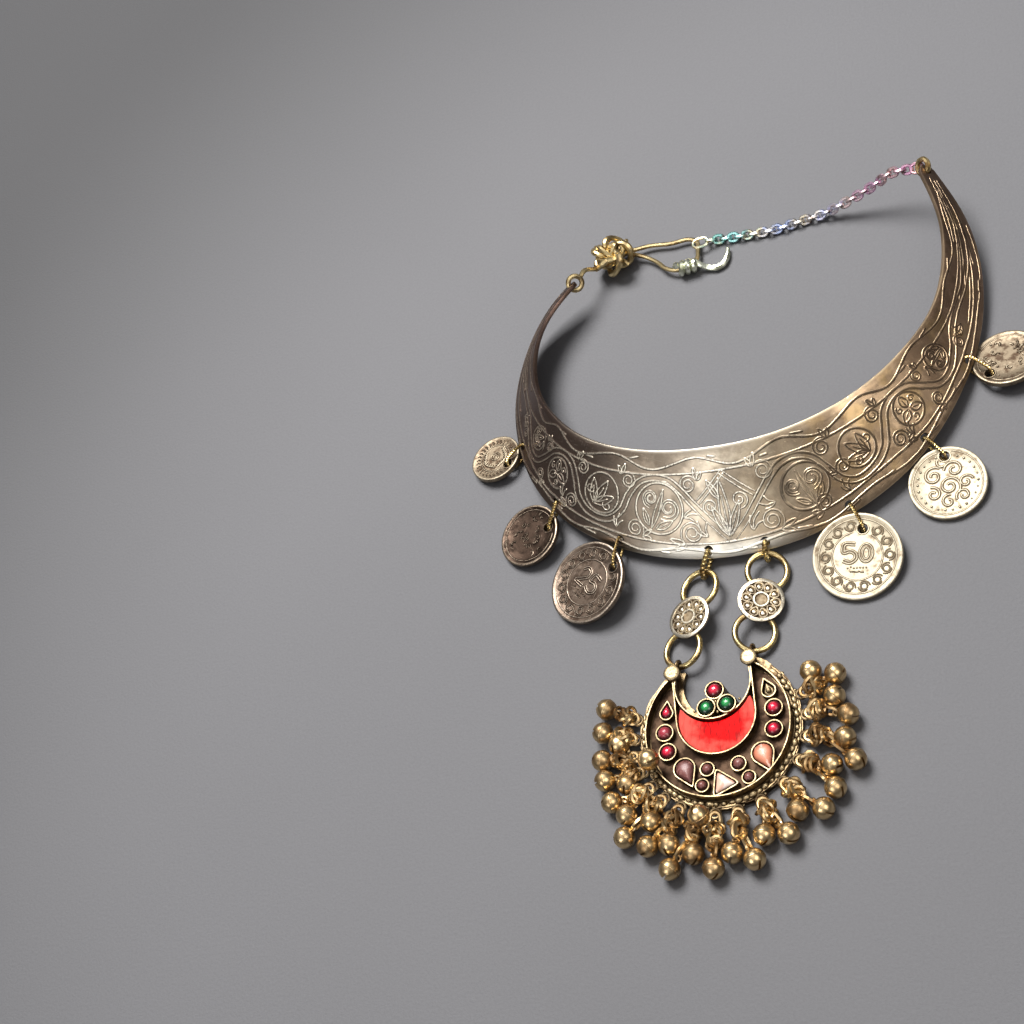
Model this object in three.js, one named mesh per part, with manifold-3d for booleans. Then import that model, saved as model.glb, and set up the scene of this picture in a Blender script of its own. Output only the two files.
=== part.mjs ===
// A torc necklace of the tribal silver kind, lying on a flat surface: an engraved crescent collar
// with six coins, closed at the back by a knotted wire, a hook and a fine chain, and a crescent
// pendant with stones and round bells that hangs from two rosette links.
// Millimetres. +X is the wearer's left as the collar lies, +Y runs from the front to the clasp,
// +Z is up and z = 0 is the surface.

import * as THREE from "three";
import { mergeVertices } from "three/addons/utils/BufferGeometryUtils.js";
import Module from "manifold-3d";

const wasm = await Module();
wasm.setup();

// Driving dimensions -------------------------------------------------------------------------

const GAP = 0.3; // between pieces that touch on the real necklace

// The middle of the necklace's box, which the origin stands under.
const BOX_MIDDLE = { x: 2.5, y: -58.45 };

// The collar is one bent sheet. Its inner edge turns about the neck's axis: each station gives
// that edge's distance from the axis and height, the sheet's width, and its fall outward.
const COLLAR = {
  thickness: 1.2,
  turn: 117, // degrees from the front to a tip
  step: 4.5, // degrees between sections
  holeInset: 2.2, // from the outer edge to a hole's middle
  hole: 1.25, // radius of the holes along the outer edge
  tipHole: 1.0,
  tipHoleTurn: 115,
  tipRound: 2.2, // degrees over which a tip is rounded off
};
const COLLAR_STATIONS = [
  { radius: 47.0, height: 19.5, width: 28.0, fall: 37 },
  { radius: 48.0, height: 19.2, width: 27.0, fall: 37 },
  { radius: 50.5, height: 18.5, width: 24.0, fall: 38 },
  { radius: 52.5, height: 15.5, width: 19.0, fall: 38 },
  { radius: 55.0, height: 12.5, width: 14.0, fall: 44 },
  { radius: 55.5, height: 12.8, width: 10.5, fall: 50 },
  { radius: 53.5, height: 13.8, width: 4.6, fall: 40 },
];
// The arms are sprung a little out of true: both lean to the right, and the right one stands
// further back and higher than the left one.
const ARM_LEAN = { x: 6, y: 5.5, z: 3.6, zNear: -1 };

// Coins: middle, width across, the hole's bearing and distance from the middle, how far the coin
// is tipped up, and towards which bearing. Bearings are degrees from +X.
const COIN = { thickness: 1.4, hole: 1.25, sides: 22 };
const COINS = [
  { name: "coin_right_1", x: 31.2, y: -73.7, across: 22, holeAt: 75, holeOut: 7.0, tip: 9, tipTo: 90 },
  { name: "coin_right_2", x: 53.6, y: -56.7, across: 19, holeAt: 92, holeOut: 7.0, tip: 6, tipTo: 95 },
  { name: "coin_right_3", x: 70.2, y: -24.4, across: 17.4, holeAt: -135, holeOut: 6.2, tip: 10, tipTo: -72 },
  { name: "coin_left_1", x: -37.5, y: -71.6, across: 22, holeAt: 15, holeOut: 8.3, tip: 15, tipTo: 15 },
  { name: "coin_left_2", x: -54.8, y: -54.8, across: 17.4, holeAt: 8, holeOut: 5.9, tip: 11, tipTo: 8 },
  { name: "coin_left_3", x: -66.5, y: -29.0, across: 14.4, holeAt: -35, holeOut: 5.0, tip: 8, tipTo: -45 },
];

// Jump rings of the coins: the collar hole's turn, the middle, the bearing of the ring's plane,
// its lean from upright, and its mean radius.
const COIN_RING_WIRE = 0.4;
const COIN_RINGS = [
  { name: "coin_ring_right_1", turn: 29, x: 31.5, y: -63.3, z: 4.16, bearing: 112, lean: 10, radius: 3.7 },
  { name: "coin_ring_right_2", turn: 48.5, x: 51.6, y: -47.3, z: 4.37, bearing: 133, lean: 10, radius: 3.8 },
  { name: "coin_ring_right_3", turn: 68.5, x: 63.4, y: -26, z: 4.42, bearing: 146, lean: 16, radius: 4.1 },
  { name: "coin_ring_left_1", turn: -28, x: -29, y: -65, z: 4.64, bearing: 88, lean: -25, radius: 4.5 },
  { name: "coin_ring_left_2", turn: -46.5, x: -47.8, y: -50.6, z: 4.55, bearing: 73, lean: -5, radius: 3.7 },
  { name: "coin_ring_left_3", turn: -67, x: -60.4, y: -29.5, z: 3.87, bearing: 31, lean: -29, radius: 3.8 },
];

// The pendant: a round box with a crescent window of glass and an open bay between two horns.
const PENDANT = {
  x: -3.4,
  y: -114.4,
  turned: 6, // degrees
  plateRadius: 19.9,
  plateThickness: 1.5,
  plateTop: 17, // the plate is cut off straight at this height, behind the horns
  wallHeight: 4.4,
  wall: 0.8,
  bodyRadius: 17.9,
  bay: { y: 11.3, radius: 9.2 },
  backBay: { x: 1.0, y: 12.0, radius: 9.0 },
  window: { y: 2.6, radius: 9.5 },
  rimRadius: 18.7,
  rimWire: 0.75,
  rimTop: 8,
};
const HORN = { x: 9.6, y: 15.5, disc: 1.8, discThickness: 1.0, post: 1.5 };
const HORN_EYE = { out: 2.6, radius: 1.45, wire: 0.45, z: 2.35 };
const BEZEL = { wall: 0.45, base: 0.15, height: 3.4 };
const TRIO_HEIGHT = 4.8;

// Stones: place in the pendant, radius, and for a drop the bearing of its point.
const STONE_RISE = 0.9;
const STONES = [
  { name: "stone_bay_top", x: 0.4, y: 8.8, radius: 1.8, bay: true },
  { name: "stone_bay_left", x: -2.05, y: 4.75, radius: 1.8, bay: true },
  { name: "stone_bay_right", x: 3.0, y: 4.8, radius: 1.8, bay: true },
  { name: "stone_right_1", x: 13.1, y: 6.6, radius: 1.3, point: 105 },
  { name: "stone_right_2", x: 13.8, y: 2.0, radius: 1.7 },
  { name: "stone_right_3", x: 13.2, y: -3.3, radius: 1.7 },
  { name: "stone_right_4", x: 9.9, y: -8.7, radius: 2.3, point: -72 },
  { name: "stone_foot_1", x: 3.9, y: -10.2, radius: 1.4 },
  { name: "stone_foot_2", x: 6.0, y: -14.0, radius: 1.2 },
  { name: "stone_foot_3", x: -0.3, y: -14.2, radius: 3.3, triangle: 110 },
  { name: "stone_foot_4", x: -3.7, y: -10.1, radius: 1.3 },
  { name: "stone_foot_5", x: -5.3, y: -13.9, radius: 1.2 },
  { name: "stone_left_4", x: -9.2, y: -8.9, radius: 2.2, point: -72 },
  { name: "stone_left_3", x: -12.9, y: -3.9, radius: 1.7 },
  { name: "stone_left_2", x: -13.2, y: 1.1, radius: 1.7 },
  { name: "stone_left_1", x: -12.3, y: 6.0, radius: 1.2, point: 80 },
];

// Hanger links: two rings soldered under a rosette. Each is given by the bearing from the horn to
// its near ring's middle, the bearing along the link, and how far it is rolled about its length.
const HANGER = { ringRadius: 4.85, wire: 0.55, spacing: 16.4, rosette: 5.6, petals: 9, z: 2.4 };
const HANGERS = [
  { side: "left", horn: -1, hornBearing: 74, bearing: 75.5, roll: -16, holeTurn: -5.5 },
  { side: "right", horn: 1, hornBearing: 82, bearing: 78.5, roll: 15, holeTurn: 8.5 },
];
const HANGER_RING = { halfWidth: 2.0, wire: 0.5, z: 2.55 };

// Bells hang in clusters, each from one eye of the pendant's rim. Bearings are degrees from the
// pendant's foot, positive to the right, and reach is measured from its middle.
const BELL = { radius: 2.7, segments: 7, rows: 4 };
const RIM_EYE = { reach: 20.95, radius: 1.2, wire: 0.38, z: 1.62 };
const BELL_LINK = { inside: 0.15, halfWidth: 1.4, wire: 0.4, z: 1.9, knotZ: 2.1 };
const BELL_SHANK = { back: 0.7, near: 0.75, far: 0.6 };
const BELL_CLUSTERS = [
  { eye: 103, knot: [103, 24.8], bells: [[112, 25.4], [104.5, 30.2]] },
  { eye: 88, knot: [89, 24.6], bells: [[94, 28.4], [84, 31.0]] },
  { eye: 73, knot: [74, 25.0], bells: [[73.5, 30.6], [65, 34.2]] },
  { eye: 57, knot: [57, 25.0], bells: [[60, 29.4], [51.5, 32.6]] },
  { eye: 40, knot: [40, 25.2], bells: [[42, 33.2], [34, 29.0]] },
  { eye: 22, knot: [22, 25.0], bells: [[25, 32.0], [15.5, 29.4]] },
  { eye: 6, knot: [5, 25.4], bells: [[8.5, 34.0], [0, 31.2]] },
  { eye: -9, knot: [-8, 27.6], bells: [[-8, 34.4], [-14, 23.5, 7.6]] },
  { eye: -21, knot: [-19, 26.0], bells: [[-17, 31.2], [-25, 35.8]] },
  { eye: -33, knot: [-33, 25.4], bells: [[-29, 30.4], [-37.5, 32.8]] },
  { eye: -46, knot: [-47, 24.6], bells: [[-42.5, 27.4], [-48, 34.2]] },
  { eye: -58, knot: [-58, 25.0], bells: [[-54.5, 30.0], [-64, 31.0]] },
  { eye: -70, knot: [-71.5, 24.2], bells: [[-67.5, 25.6], [-75, 30.2]] },
  { eye: -82, knot: [-82, 24.6], bells: [[-85, 29.6], [-68, 17.8, 7.4]] },
  { eye: -94, knot: [-95.5, 24.2], bells: [[-91.5, 25.0], [-99, 29.2]] },
  { eye: -108, knot: [-109, 24.4], bells: [[-111, 29.4]] },
];

// The closing wire and its hook, by hand as they lie. The chain is one tube along its route.
const CLASP_WIRE = 0.5;
const TIP_RING = { radius: 2.2, wire: 0.45 };
const KNOT = { x: -34.2, y: 29.4, z: 4.4, turns: 2, lobes: 5, radius: 3.1, swell: 1.5, rise: 1.95 };
const KNOT_ENTRY = 0.805; // shares of the knot's length where the neck and the long eye join it
const KNOT_EXIT = 0.55;
const CLASP_NECK = [[-40.6, 23.6, 8.8], [-39.0, 25.4, 6.4]];
const CLASP_LOOP = [
  [-27.6, 32.8, 2.0], [-23.8, 33.2, 1.8], [-17.8, 32.6, 1.7], [-12.6, 32.8, 1.7],
  [-10.1, 31.4, 1.75], [-9.8, 28.6, 1.75], [-10.0, 25.6, 1.7], [-11.4, 23.5, 1.7], [-13.4, 22.8, 1.7],
  [-15.8, 22.5, 1.7], [-18.8, 23.9, 1.7], [-21.2, 26.6, 1.7], [-24.2, 29.0, 1.9], [-27.4, 30.6, 2.2],
];
const HOOK = { wire: 0.42, wraps: 3, pitch: 1.15 };
const HOOK_AXIS = { x: -15.6, y: 22.55, z: 1.7, bearing: 8 };
const HOOK_TAIL = [
  [-10.6, 24.1, 3.0], [-8.9, 23.4, 2.2], [-7.2, 22.2, 1.2], [-4.8, 21.2, 0.7], [-2.6, 21.9, 0.6],
  [-1.4, 24.6, 0.6], [-1.5, 28.4, 0.6],
];
const CHAIN_RADIUS = 1.1;
const CHAIN_END_LINK = { halfWidth: 1.5, wire: 0.4, length: 5.4 };
const CHAIN_START_LINK = [[-11.2, 30.2, 2.15], [-6.9, 30.9, 2.0]];
const CHAIN_ROUTE = [
  [-4.6, 31.1, 1.4], [0.7, 30.8, 1.2], [6.8, 30.6, 1.2], [12.2, 30.6, 1.2], [17.6, 31.4, 1.2],
  [22.4, 32.0, 1.3], [25.8, 32.1, 1.9], [29.4, 32.1, 3.4], [33.2, 32.2, 5.0], [37.4, 32.4, 6.9],
  [42.0, 32.6, 9.4], [46.4, 32.7, 12.2],
];

// Finishes -----------------------------------------------------------------------------------

function finish(color, metalness, roughness) {
  return new THREE.MeshStandardMaterial({ color, metalness, roughness });
}

const FINISHES = {
  collar: finish(0x8d7f6c, 0.9, 0.42),
  brightCoin: finish(0xd9cdb4, 0.9, 0.35),
  darkCoin: finish(0x5d4c3d, 0.9, 0.5),
  brass: finish(0xb29a63, 0.95, 0.35),
  oldBrass: finish(0x8a7350, 0.9, 0.42),
  hook: finish(0xbfc4a8, 0.9, 0.35),
  red: finish(0xb3141c, 0.0, 0.15),
  darkRed: finish(0x7c2430, 0.0, 0.2),
  green: finish(0x1d6b36, 0.0, 0.12),
  mauve: finish(0x7a4a4f, 0.0, 0.25),
  orange: finish(0xd9784f, 0.0, 0.2),
  pale: finish(0xf0d9cc, 0.0, 0.2),
};
const STONE_FINISHES = {
  stone_bay_left: "green",
  stone_bay_right: "green",
  stone_right_1: "oldBrass",
  stone_right_4: "orange",
  stone_foot_1: "mauve",
  stone_foot_2: "mauve",
  stone_foot_3: "pale",
  stone_foot_4: "mauve",
  stone_foot_5: "mauve",
  stone_left_2: "darkRed",
  stone_left_4: "mauve",
};

// Solids -------------------------------------------------------------------------------------

const UP = new THREE.Vector3(0, 0, 1);

function radians(degrees) {
  return THREE.MathUtils.degToRad(degrees);
}

function at(point) {
  return new THREE.Vector3(point[0], point[1], point[2]);
}

/** The direction with this bearing from +X, level with the surface. */
function bearingDirection(degrees) {
  return new THREE.Vector3(Math.cos(radians(degrees)), Math.sin(radians(degrees)), 0);
}

function toManifold(geometry) {
  const bare = geometry.clone();
  bare.deleteAttribute("normal");
  bare.deleteAttribute("uv");
  const merged = mergeVertices(bare, 1e-4);
  const mesh = new wasm.Mesh({
    numProp: 3,
    vertProperties: new Float32Array(merged.attributes.position.array),
    triVerts: new Uint32Array(merged.index.array),
  });
  return new wasm.Manifold(mesh);
}

function toGeometry(manifold) {
  const mesh = manifold.getMesh();
  const geometry = new THREE.BufferGeometry();
  geometry.setAttribute("position", new THREE.BufferAttribute(new Float32Array(mesh.vertProperties), 3));
  geometry.setIndex(new THREE.BufferAttribute(new Uint32Array(mesh.triVerts), 1));
  geometry.computeVertexNormals();
  return geometry;
}

/** One solid of several that overlap, less the cutters, with any sealed pocket filled. */
function join(geometries, cutters = []) {
  const whole = geometries.map(toManifold).reduce((sum, piece) => sum.add(piece));
  const cut = cutters.map(toManifold).reduce((rest, cutter) => rest.subtract(cutter), whole);
  const shells = cut.decompose().filter((shell) => shell.volume() > 0);
  return toGeometry(shells.reduce((sum, shell) => sum.add(shell)));
}

function keepCommon(geometry, mould) {
  return toGeometry(toManifold(geometry).intersect(toManifold(mould)));
}

/** A cylinder along z from one height to another, over a point. */
function cylinder(x, y, radius, from, to, sides) {
  const geometry = new THREE.CylinderGeometry(radius, radius, to - from, sides);
  return geometry.rotateX(Math.PI / 2).translate(x, y, (from + to) / 2);
}

function box(from, to) {
  const size = to.map((value, axis) => value - from[axis]);
  const geometry = new THREE.BoxGeometry(size[0], size[1], size[2]);
  return geometry.translate(from[0] + size[0] / 2, from[1] + size[1] / 2, from[2] + size[2] / 2);
}

/** An outline raised from one height to another. */
function slab(shape, from, to, curveSegments = 10) {
  const geometry = new THREE.ExtrudeGeometry(shape, { depth: to - from, bevelEnabled: false, curveSegments });
  return geometry.translate(0, 0, from);
}

/** A flat ring with square edges, about a point. */
function washer(x, y, inner, outer, from, to, sides) {
  const profile = [[inner, from], [outer, from], [outer, to], [inner, to], [inner, from]];
  const points = profile.map(([radius, z]) => new THREE.Vector2(radius, z));
  return new THREE.LatheGeometry(points, sides).rotateX(Math.PI / 2).translate(x, y, 0);
}

/** The closed middle line of an oval link, long along x, flat in the x-z plane. */
class OvalCurve extends THREE.Curve {
  constructor(halfLength, halfWidth) {
    super();
    this.halfLength = halfLength;
    this.halfWidth = halfWidth;
    this.straight = Math.max(0, halfLength - halfWidth);
  }

  getPoint(share) {
    const angle = share * 2 * Math.PI;
    const x = this.halfWidth * Math.cos(angle) + this.straight * Math.tanh(4 * Math.cos(angle));
    return new THREE.Vector3(x, 0, this.halfWidth * Math.sin(angle));
  }
}

/** An oval wire link whose middle line runs from one point to another, its width along a side. */
function ovalLink(from, to, halfWidth, wire, side, segments = 8, sides = 3) {
  const along = to.clone().sub(from);
  const curve = new OvalCurve(along.length() / 2, Math.min(halfWidth, along.length() / 2));
  const tube = new THREE.TubeGeometry(curve, segments, wire, sides, true);
  const x = along.normalize();
  const y = side.clone().cross(x).normalize();
  tube.applyMatrix4(new THREE.Matrix4().makeBasis(x, y, x.clone().cross(y)));
  return tube.translate((from.x + to.x) / 2, (from.y + to.y) / 2, (from.z + to.z) / 2);
}

/** A round wire ring about a middle, in the plane of two directions. */
function wireRing(middle, first, second, radius, wire, segments = 12, sides = 5) {
  const ring = new THREE.TorusGeometry(radius, wire, sides, segments);
  const x = first.clone().normalize();
  const z = x.clone().cross(second).normalize();
  ring.applyMatrix4(new THREE.Matrix4().makeBasis(x, z.clone().cross(x), z));
  return ring.translate(middle.x, middle.y, middle.z);
}

/** A wire or tube along an open run of points. */
function wireAlong(points, radius, steps, sides = 6) {
  const section = new THREE.Shape();
  for (let side = 0; side < sides; side += 1) {
    const angle = (side / sides) * 2 * Math.PI;
    const move = side === 0 ? "moveTo" : "lineTo";
    section[move](radius * Math.cos(angle), radius * Math.sin(angle));
  }
  const path = new THREE.CatmullRomCurve3(points, false, "centripetal");
  return new THREE.ExtrudeGeometry(section, { steps, extrudePath: path, bevelEnabled: false });
}

// The collar ---------------------------------------------------------------------------------

/** A station value between the front (0) and either tip (-1 or 1), mirrored about the front. */
function stationValue(column, share) {
  const half = COLLAR_STATIONS.map((station, index) => [index / (COLLAR_STATIONS.length - 1), station[column]]);
  const left = half.slice(1).reverse().map(([place, value]) => [-place, value]);
  const points = [...left, ...half].map(([place, value]) => new THREE.Vector2(place, value));
  return new THREE.SplineCurve(points).getPoint((share + 1) / 2).y;
}

/** The sheet's inner and outer edge points and normal at a turn in degrees, right positive. */
function collarEdges(turn) {
  const share = turn / COLLAR.turn;
  const angle = radians(turn);
  const spring = Math.abs(share) ** 3;
  const lift = Math.sign(share) * ARM_LEAN.z * spring + ARM_LEAN.zNear * share;
  const point = (value) => {
    const radius = stationValue("radius", value / COLLAR.turn);
    return new THREE.Vector3(radius * Math.sin(radians(value)), -radius * Math.cos(radians(value)), 0);
  };
  const along = point(Math.min(turn + 0.5, COLLAR.turn)).sub(point(Math.max(turn - 0.5, -COLLAR.turn)));
  const outward = new THREE.Vector3(along.y, -along.x, 0).normalize();
  const fall = radians(stationValue("fall", share));
  const across = outward.multiplyScalar(Math.cos(fall)).addScaledVector(UP, -Math.sin(fall));
  const inner = point(turn);
  inner.x += ARM_LEAN.x * spring;
  inner.y += ARM_LEAN.y * Math.sign(share) * spring;
  inner.z = stationValue("height", share) + lift;
  const width = stationValue("width", share);
  const outer = inner.clone().addScaledVector(across, width);
  return { inner, outer, across, width, angle };
}

/** The frame of the sheet's top face: edges, the direction along it and its normal. */
function collarFrame(turn) {
  const edges = collarEdges(turn);
  const before = collarEdges(Math.max(turn - 1, -COLLAR.turn));
  const after = collarEdges(Math.min(turn + 1, COLLAR.turn));
  const middle = ({ inner, outer }) => inner.clone().add(outer).multiplyScalar(0.5);
  const along = middle(after).sub(middle(before)).normalize();
  const normal = edges.across.clone().cross(along).normalize();
  return { ...edges, along, normal, middle: middle(edges) };
}

function collarTurns() {
  const turns = [];
  for (let turn = -COLLAR.turn; turn <= COLLAR.turn; turn += COLLAR.step) turns.push(turn);
  const rounding = [0.3, 1.1];
  const ends = rounding.flatMap((inset) => [COLLAR.turn - inset, inset - COLLAR.turn]);
  return [...turns, ...ends].sort((first, second) => first - second);
}

/** A point of the sheet's middle plane, a distance in from the outer edge. */
function sheetPoint(frame, inset) {
  const point = frame.outer.clone().addScaledVector(frame.across, -inset);
  return point.addScaledVector(frame.normal, -COLLAR.thickness / 2);
}

function holeCutter(frame, inset, radius) {
  const cutter = new THREE.CylinderGeometry(radius, radius, 4 * COLLAR.thickness, 9);
  cutter.applyQuaternion(new THREE.Quaternion().setFromUnitVectors(new THREE.Vector3(0, 1, 0), frame.normal));
  const point = sheetPoint(frame, inset);
  return cutter.translate(point.x, point.y, point.z);
}

function tipHoleFrame(side) {
  const frame = collarFrame(side * COLLAR.tipHoleTurn);
  return { ...frame, hole: sheetPoint(frame, frame.width / 2), toTip: frame.along.clone().multiplyScalar(side) };
}

function collarSheet() {
  const positions = [];
  const indices = [];
  const turns = collarTurns();
  for (const turn of turns) {
    const frame = collarFrame(turn);
    const fromTip = COLLAR.turn - Math.abs(turn);
    const rest = Math.max(0, 1 - fromTip / COLLAR.tipRound);
    const share = Math.max(0.3, Math.sqrt(1 - rest * rest));
    const half = frame.across.clone().multiplyScalar((share * frame.width) / 2);
    const sink = frame.normal.clone().multiplyScalar(-COLLAR.thickness);
    const inner = frame.middle.clone().sub(half);
    const outer = frame.middle.clone().add(half);
    for (const corner of [inner, outer, outer.clone().add(sink), inner.clone().add(sink)]) {
      positions.push(corner.x, corner.y, corner.z);
    }
  }
  for (let section = 0; section + 1 < turns.length; section += 1) {
    for (let corner = 0; corner < 4; corner += 1) {
      const near = 4 * section + corner;
      const nearNext = 4 * section + ((corner + 1) % 4);
      indices.push(near, nearNext, near + 4, nearNext, nearNext + 4, near + 4);
    }
  }
  const last = 4 * (turns.length - 1);
  indices.push(0, 2, 1, 0, 3, 2, last, last + 1, last + 2, last, last + 2, last + 3);
  const geometry = new THREE.BufferGeometry();
  geometry.setAttribute("position", new THREE.Float32BufferAttribute(positions, 3));
  geometry.setIndex(indices);
  return geometry;
}

function collarPlate() {
  const ringTurns = COIN_RINGS.map((ring) => ring.turn);
  const hangerTurns = HANGERS.map((hanger) => hanger.holeTurn);
  const cutters = [...ringTurns, ...hangerTurns].map((turn) => {
    return holeCutter(collarFrame(turn), COLLAR.holeInset, COLLAR.hole);
  });
  for (const side of [-1, 1]) {
    const frame = tipHoleFrame(side);
    cutters.push(holeCutter(frame, frame.width / 2, COLLAR.tipHole));
  }
  return join([collarSheet()], cutters);
}

// Coins and their rings ----------------------------------------------------------------------

/** A pierced coin lying with its lowest edge on the surface. */
function addCoin(parent, coin, material) {
  const shape = new THREE.Shape().absarc(0, 0, coin.across / 2, 0, 2 * Math.PI);
  const spot = bearingDirection(coin.holeAt - coin.tipTo).multiplyScalar(coin.holeOut);
  shape.holes.push(new THREE.Path().absarc(spot.x, spot.y, COIN.hole, 0, 2 * Math.PI));
  const blank = slab(shape, 0, COIN.thickness, COIN.sides / 2);
  const mesh = new THREE.Mesh(toGeometry(toManifold(blank)), material);
  mesh.name = coin.name;
  mesh.rotation.set(0, -radians(coin.tip), radians(coin.tipTo), "ZYX");
  const rise = (coin.across / 2) * Math.sin(radians(coin.tip));
  mesh.position.set(coin.x, coin.y, rise + 0.03);
  parent.add(mesh);
}

function addCoinRing(parent, ring) {
  const along = bearingDirection(ring.bearing);
  const upright = UP.clone().applyAxisAngle(along, radians(ring.lean));
  const middle = new THREE.Vector3(ring.x, ring.y, ring.z);
  addSolid(parent, ring.name, wireRing(middle, along, upright, ring.radius, COIN_RING_WIRE), FINISHES.brass);
}

function addSolid(parent, name, geometry, material) {
  const mesh = new THREE.Mesh(toGeometry(toManifold(geometry)), material);
  mesh.name = name;
  parent.add(mesh);
}

// The pendant --------------------------------------------------------------------------------

/** A drop outline: a circle drawn out to a point at twice its radius, towards a bearing. */
function dropShape(radius, bearing) {
  const shape = new THREE.Shape();
  const open = Math.PI / 3;
  const turn = radians(bearing);
  shape.absarc(0, 0, radius, turn + open, turn - open + 2 * Math.PI);
  shape.lineTo(2 * radius * Math.cos(turn), 2 * radius * Math.sin(turn));
  return shape;
}

function triangleShape(radius, bearing) {
  const corners = [0, 120, 240].map((step) => bearingDirection(bearing + step).multiplyScalar(radius));
  return new THREE.Shape(corners.map((corner) => new THREE.Vector2(corner.x, corner.y)));
}

/** A stone's outline about its own middle, grown by a margin. */
function stoneShape(stone, margin) {
  if (stone.point !== undefined) return dropShape(stone.radius + margin, stone.point);
  if (stone.triangle !== undefined) return triangleShape(stone.radius + 2 * margin, stone.triangle);
  return new THREE.Shape().absarc(0, 0, stone.radius + margin, 0, 2 * Math.PI);
}

function bezel(stone) {
  const from = PENDANT.plateThickness / 2;
  const to = stone.bay ? TRIO_HEIGHT : BEZEL.height;
  const outside = slab(stoneShape(stone, GAP + BEZEL.wall), from, to, 5);
  const inside = slab(stoneShape(stone, GAP), PENDANT.plateThickness + BEZEL.base, to + 1, 5);
  return join([outside], [inside]).translate(stone.x, stone.y, 0);
}

function stoneGeometry(stone) {
  const from = PENDANT.plateThickness + BEZEL.base + GAP;
  const to = (stone.bay ? TRIO_HEIGHT : BEZEL.height) + STONE_RISE;
  const rounding = Math.min(0.8, 0.5 * stone.radius);
  const geometry = new THREE.ExtrudeGeometry(stoneShape(stone, -rounding), {
    depth: to - from - rounding,
    bevelThickness: rounding,
    bevelSize: rounding,
    bevelSegments: 2,
    curveSegments: 5,
  });
  return keepCommon(geometry.translate(0, 0, from), box([-9, -9, from], [9, 9, to + 1]));
}

/** The crescent glass, inside the window's wall and clear of the bay's. */
function crescentGlass() {
  const { bay, window, wall, plateThickness, wallHeight } = PENDANT;
  const from = plateThickness + GAP;
  const disc = cylinder(0, window.y, window.radius - GAP, from, wallHeight - 0.6, 36);
  return join([disc], [cylinder(0, bay.y, bay.radius + wall + GAP, 0, wallHeight + 1, 36)]);
}

function pendantPlate() {
  const { plateRadius, plateThickness, plateTop, backBay } = PENDANT;
  const disc = cylinder(0, 0, plateRadius, 0, plateThickness, 40);
  const top = box([-25, plateTop, -1], [25, 25, 3]);
  return join([disc], [top, cylinder(backBay.x, backBay.y, backBay.radius, -1, 3, 20)]);
}

function pendantWalls() {
  const { bodyRadius, wall, wallHeight, bay, window } = PENDANT;
  const low = 0.6;
  const outside = washer(0, 0, bodyRadius - wall, bodyRadius, low, wallHeight, 40);
  const round = washer(0, window.y, window.radius, window.radius + wall, low, wallHeight, 28);
  const upper = box([-25, window.y, 0], [25, 25, 9]);
  const sides = [-1, 1].map((side) => {
    const x = side * (window.radius + wall / 2);
    return box([x - wall / 2, window.y - wall, low], [x + wall / 2, HORN.y - 2, wallHeight]);
  });
  const bayRing = washer(0, bay.y, bay.radius - wall, bay.radius + wall, low, wallHeight, 24);
  const body = cylinder(0, 0, bodyRadius - wall / 2, low, wallHeight, 40);
  const walls = join([outside, join([round], [upper]), ...sides, keepCommon(bayRing, body)]);
  const overhang = box([-25, HORN.y, -1], [25, 30, 9]);
  return join([walls], [overhang, cylinder(0, bay.y, bay.radius, -1, 9, 24)]);
}

function beadedRim() {
  const rim = new THREE.TorusGeometry(PENDANT.rimRadius, PENDANT.rimWire, 5, 40);
  rim.translate(0, 0, PENDANT.plateThickness + PENDANT.rimWire / 3);
  return join([rim], [box([-25, PENDANT.rimTop, -1], [25, 25, 5])]);
}

/** A place around the pendant by bearing from its foot and reach from its middle. */
function pendantPlace([bearing, reach, z]) {
  return new THREE.Vector3(reach * Math.sin(radians(bearing)), -reach * Math.cos(radians(bearing)), z);
}

function rimEye(cluster) {
  const middle = pendantPlace([cluster.eye, RIM_EYE.reach, RIM_EYE.z]);
  return wireRing(middle, new THREE.Vector3(1, 0, 0), new THREE.Vector3(0, 1, 0), RIM_EYE.radius, RIM_EYE.wire, 7, 3);
}

/** A horn's disc on its post, with the upright eye that the hanger's ring passes through. */
function horn(hanger) {
  const x = hanger.horn * HORN.x;
  const disc = cylinder(x, HORN.y, HORN.disc, PENDANT.wallHeight, PENDANT.wallHeight + HORN.discThickness, 12);
  const post = cylinder(x, HORN.y, HORN.post, 0, PENDANT.wallHeight + 0.2, 8);
  const heading = bearingDirection(hanger.hornBearing - PENDANT.turned);
  const middle = new THREE.Vector3(x, HORN.y, HORN_EYE.z).addScaledVector(heading, HORN_EYE.out);
  return [disc, post, wireRing(middle, heading, UP, HORN_EYE.radius, HORN_EYE.wire)];
}

function pendantFrame() {
  const horns = HANGERS.flatMap(horn);
  const eyes = BELL_CLUSTERS.map(rimEye);
  const bezels = STONES.map(bezel);
  const parts = [pendantPlate(), pendantWalls(), beadedRim(), ...bezels, ...horns, ...eyes];
  return join(parts);
}

// Bells --------------------------------------------------------------------------------------

function bell(middle) {
  const sphere = new THREE.SphereGeometry(BELL.radius, BELL.segments, BELL.rows);
  return sphere.rotateX(Math.PI / 2).translate(middle.x, middle.y, middle.z);
}

/** The short links between a knot and a bell, as one tapering bar. */
function bellShank(knot, middle) {
  const toBell = middle.clone().sub(knot).normalize();
  const near = knot.clone().addScaledVector(toBell, -BELL_SHANK.back);
  const far = middle.clone().addScaledVector(toBell, BELL_SHANK.back - BELL.radius);
  const bar = new THREE.CylinderGeometry(BELL_SHANK.far, BELL_SHANK.near, near.distanceTo(far), 4);
  bar.applyQuaternion(new THREE.Quaternion().setFromUnitVectors(new THREE.Vector3(0, 1, 0), toBell));
  return bar.translate((near.x + far.x) / 2, (near.y + far.y) / 2, (near.z + far.z) / 2);
}

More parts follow.
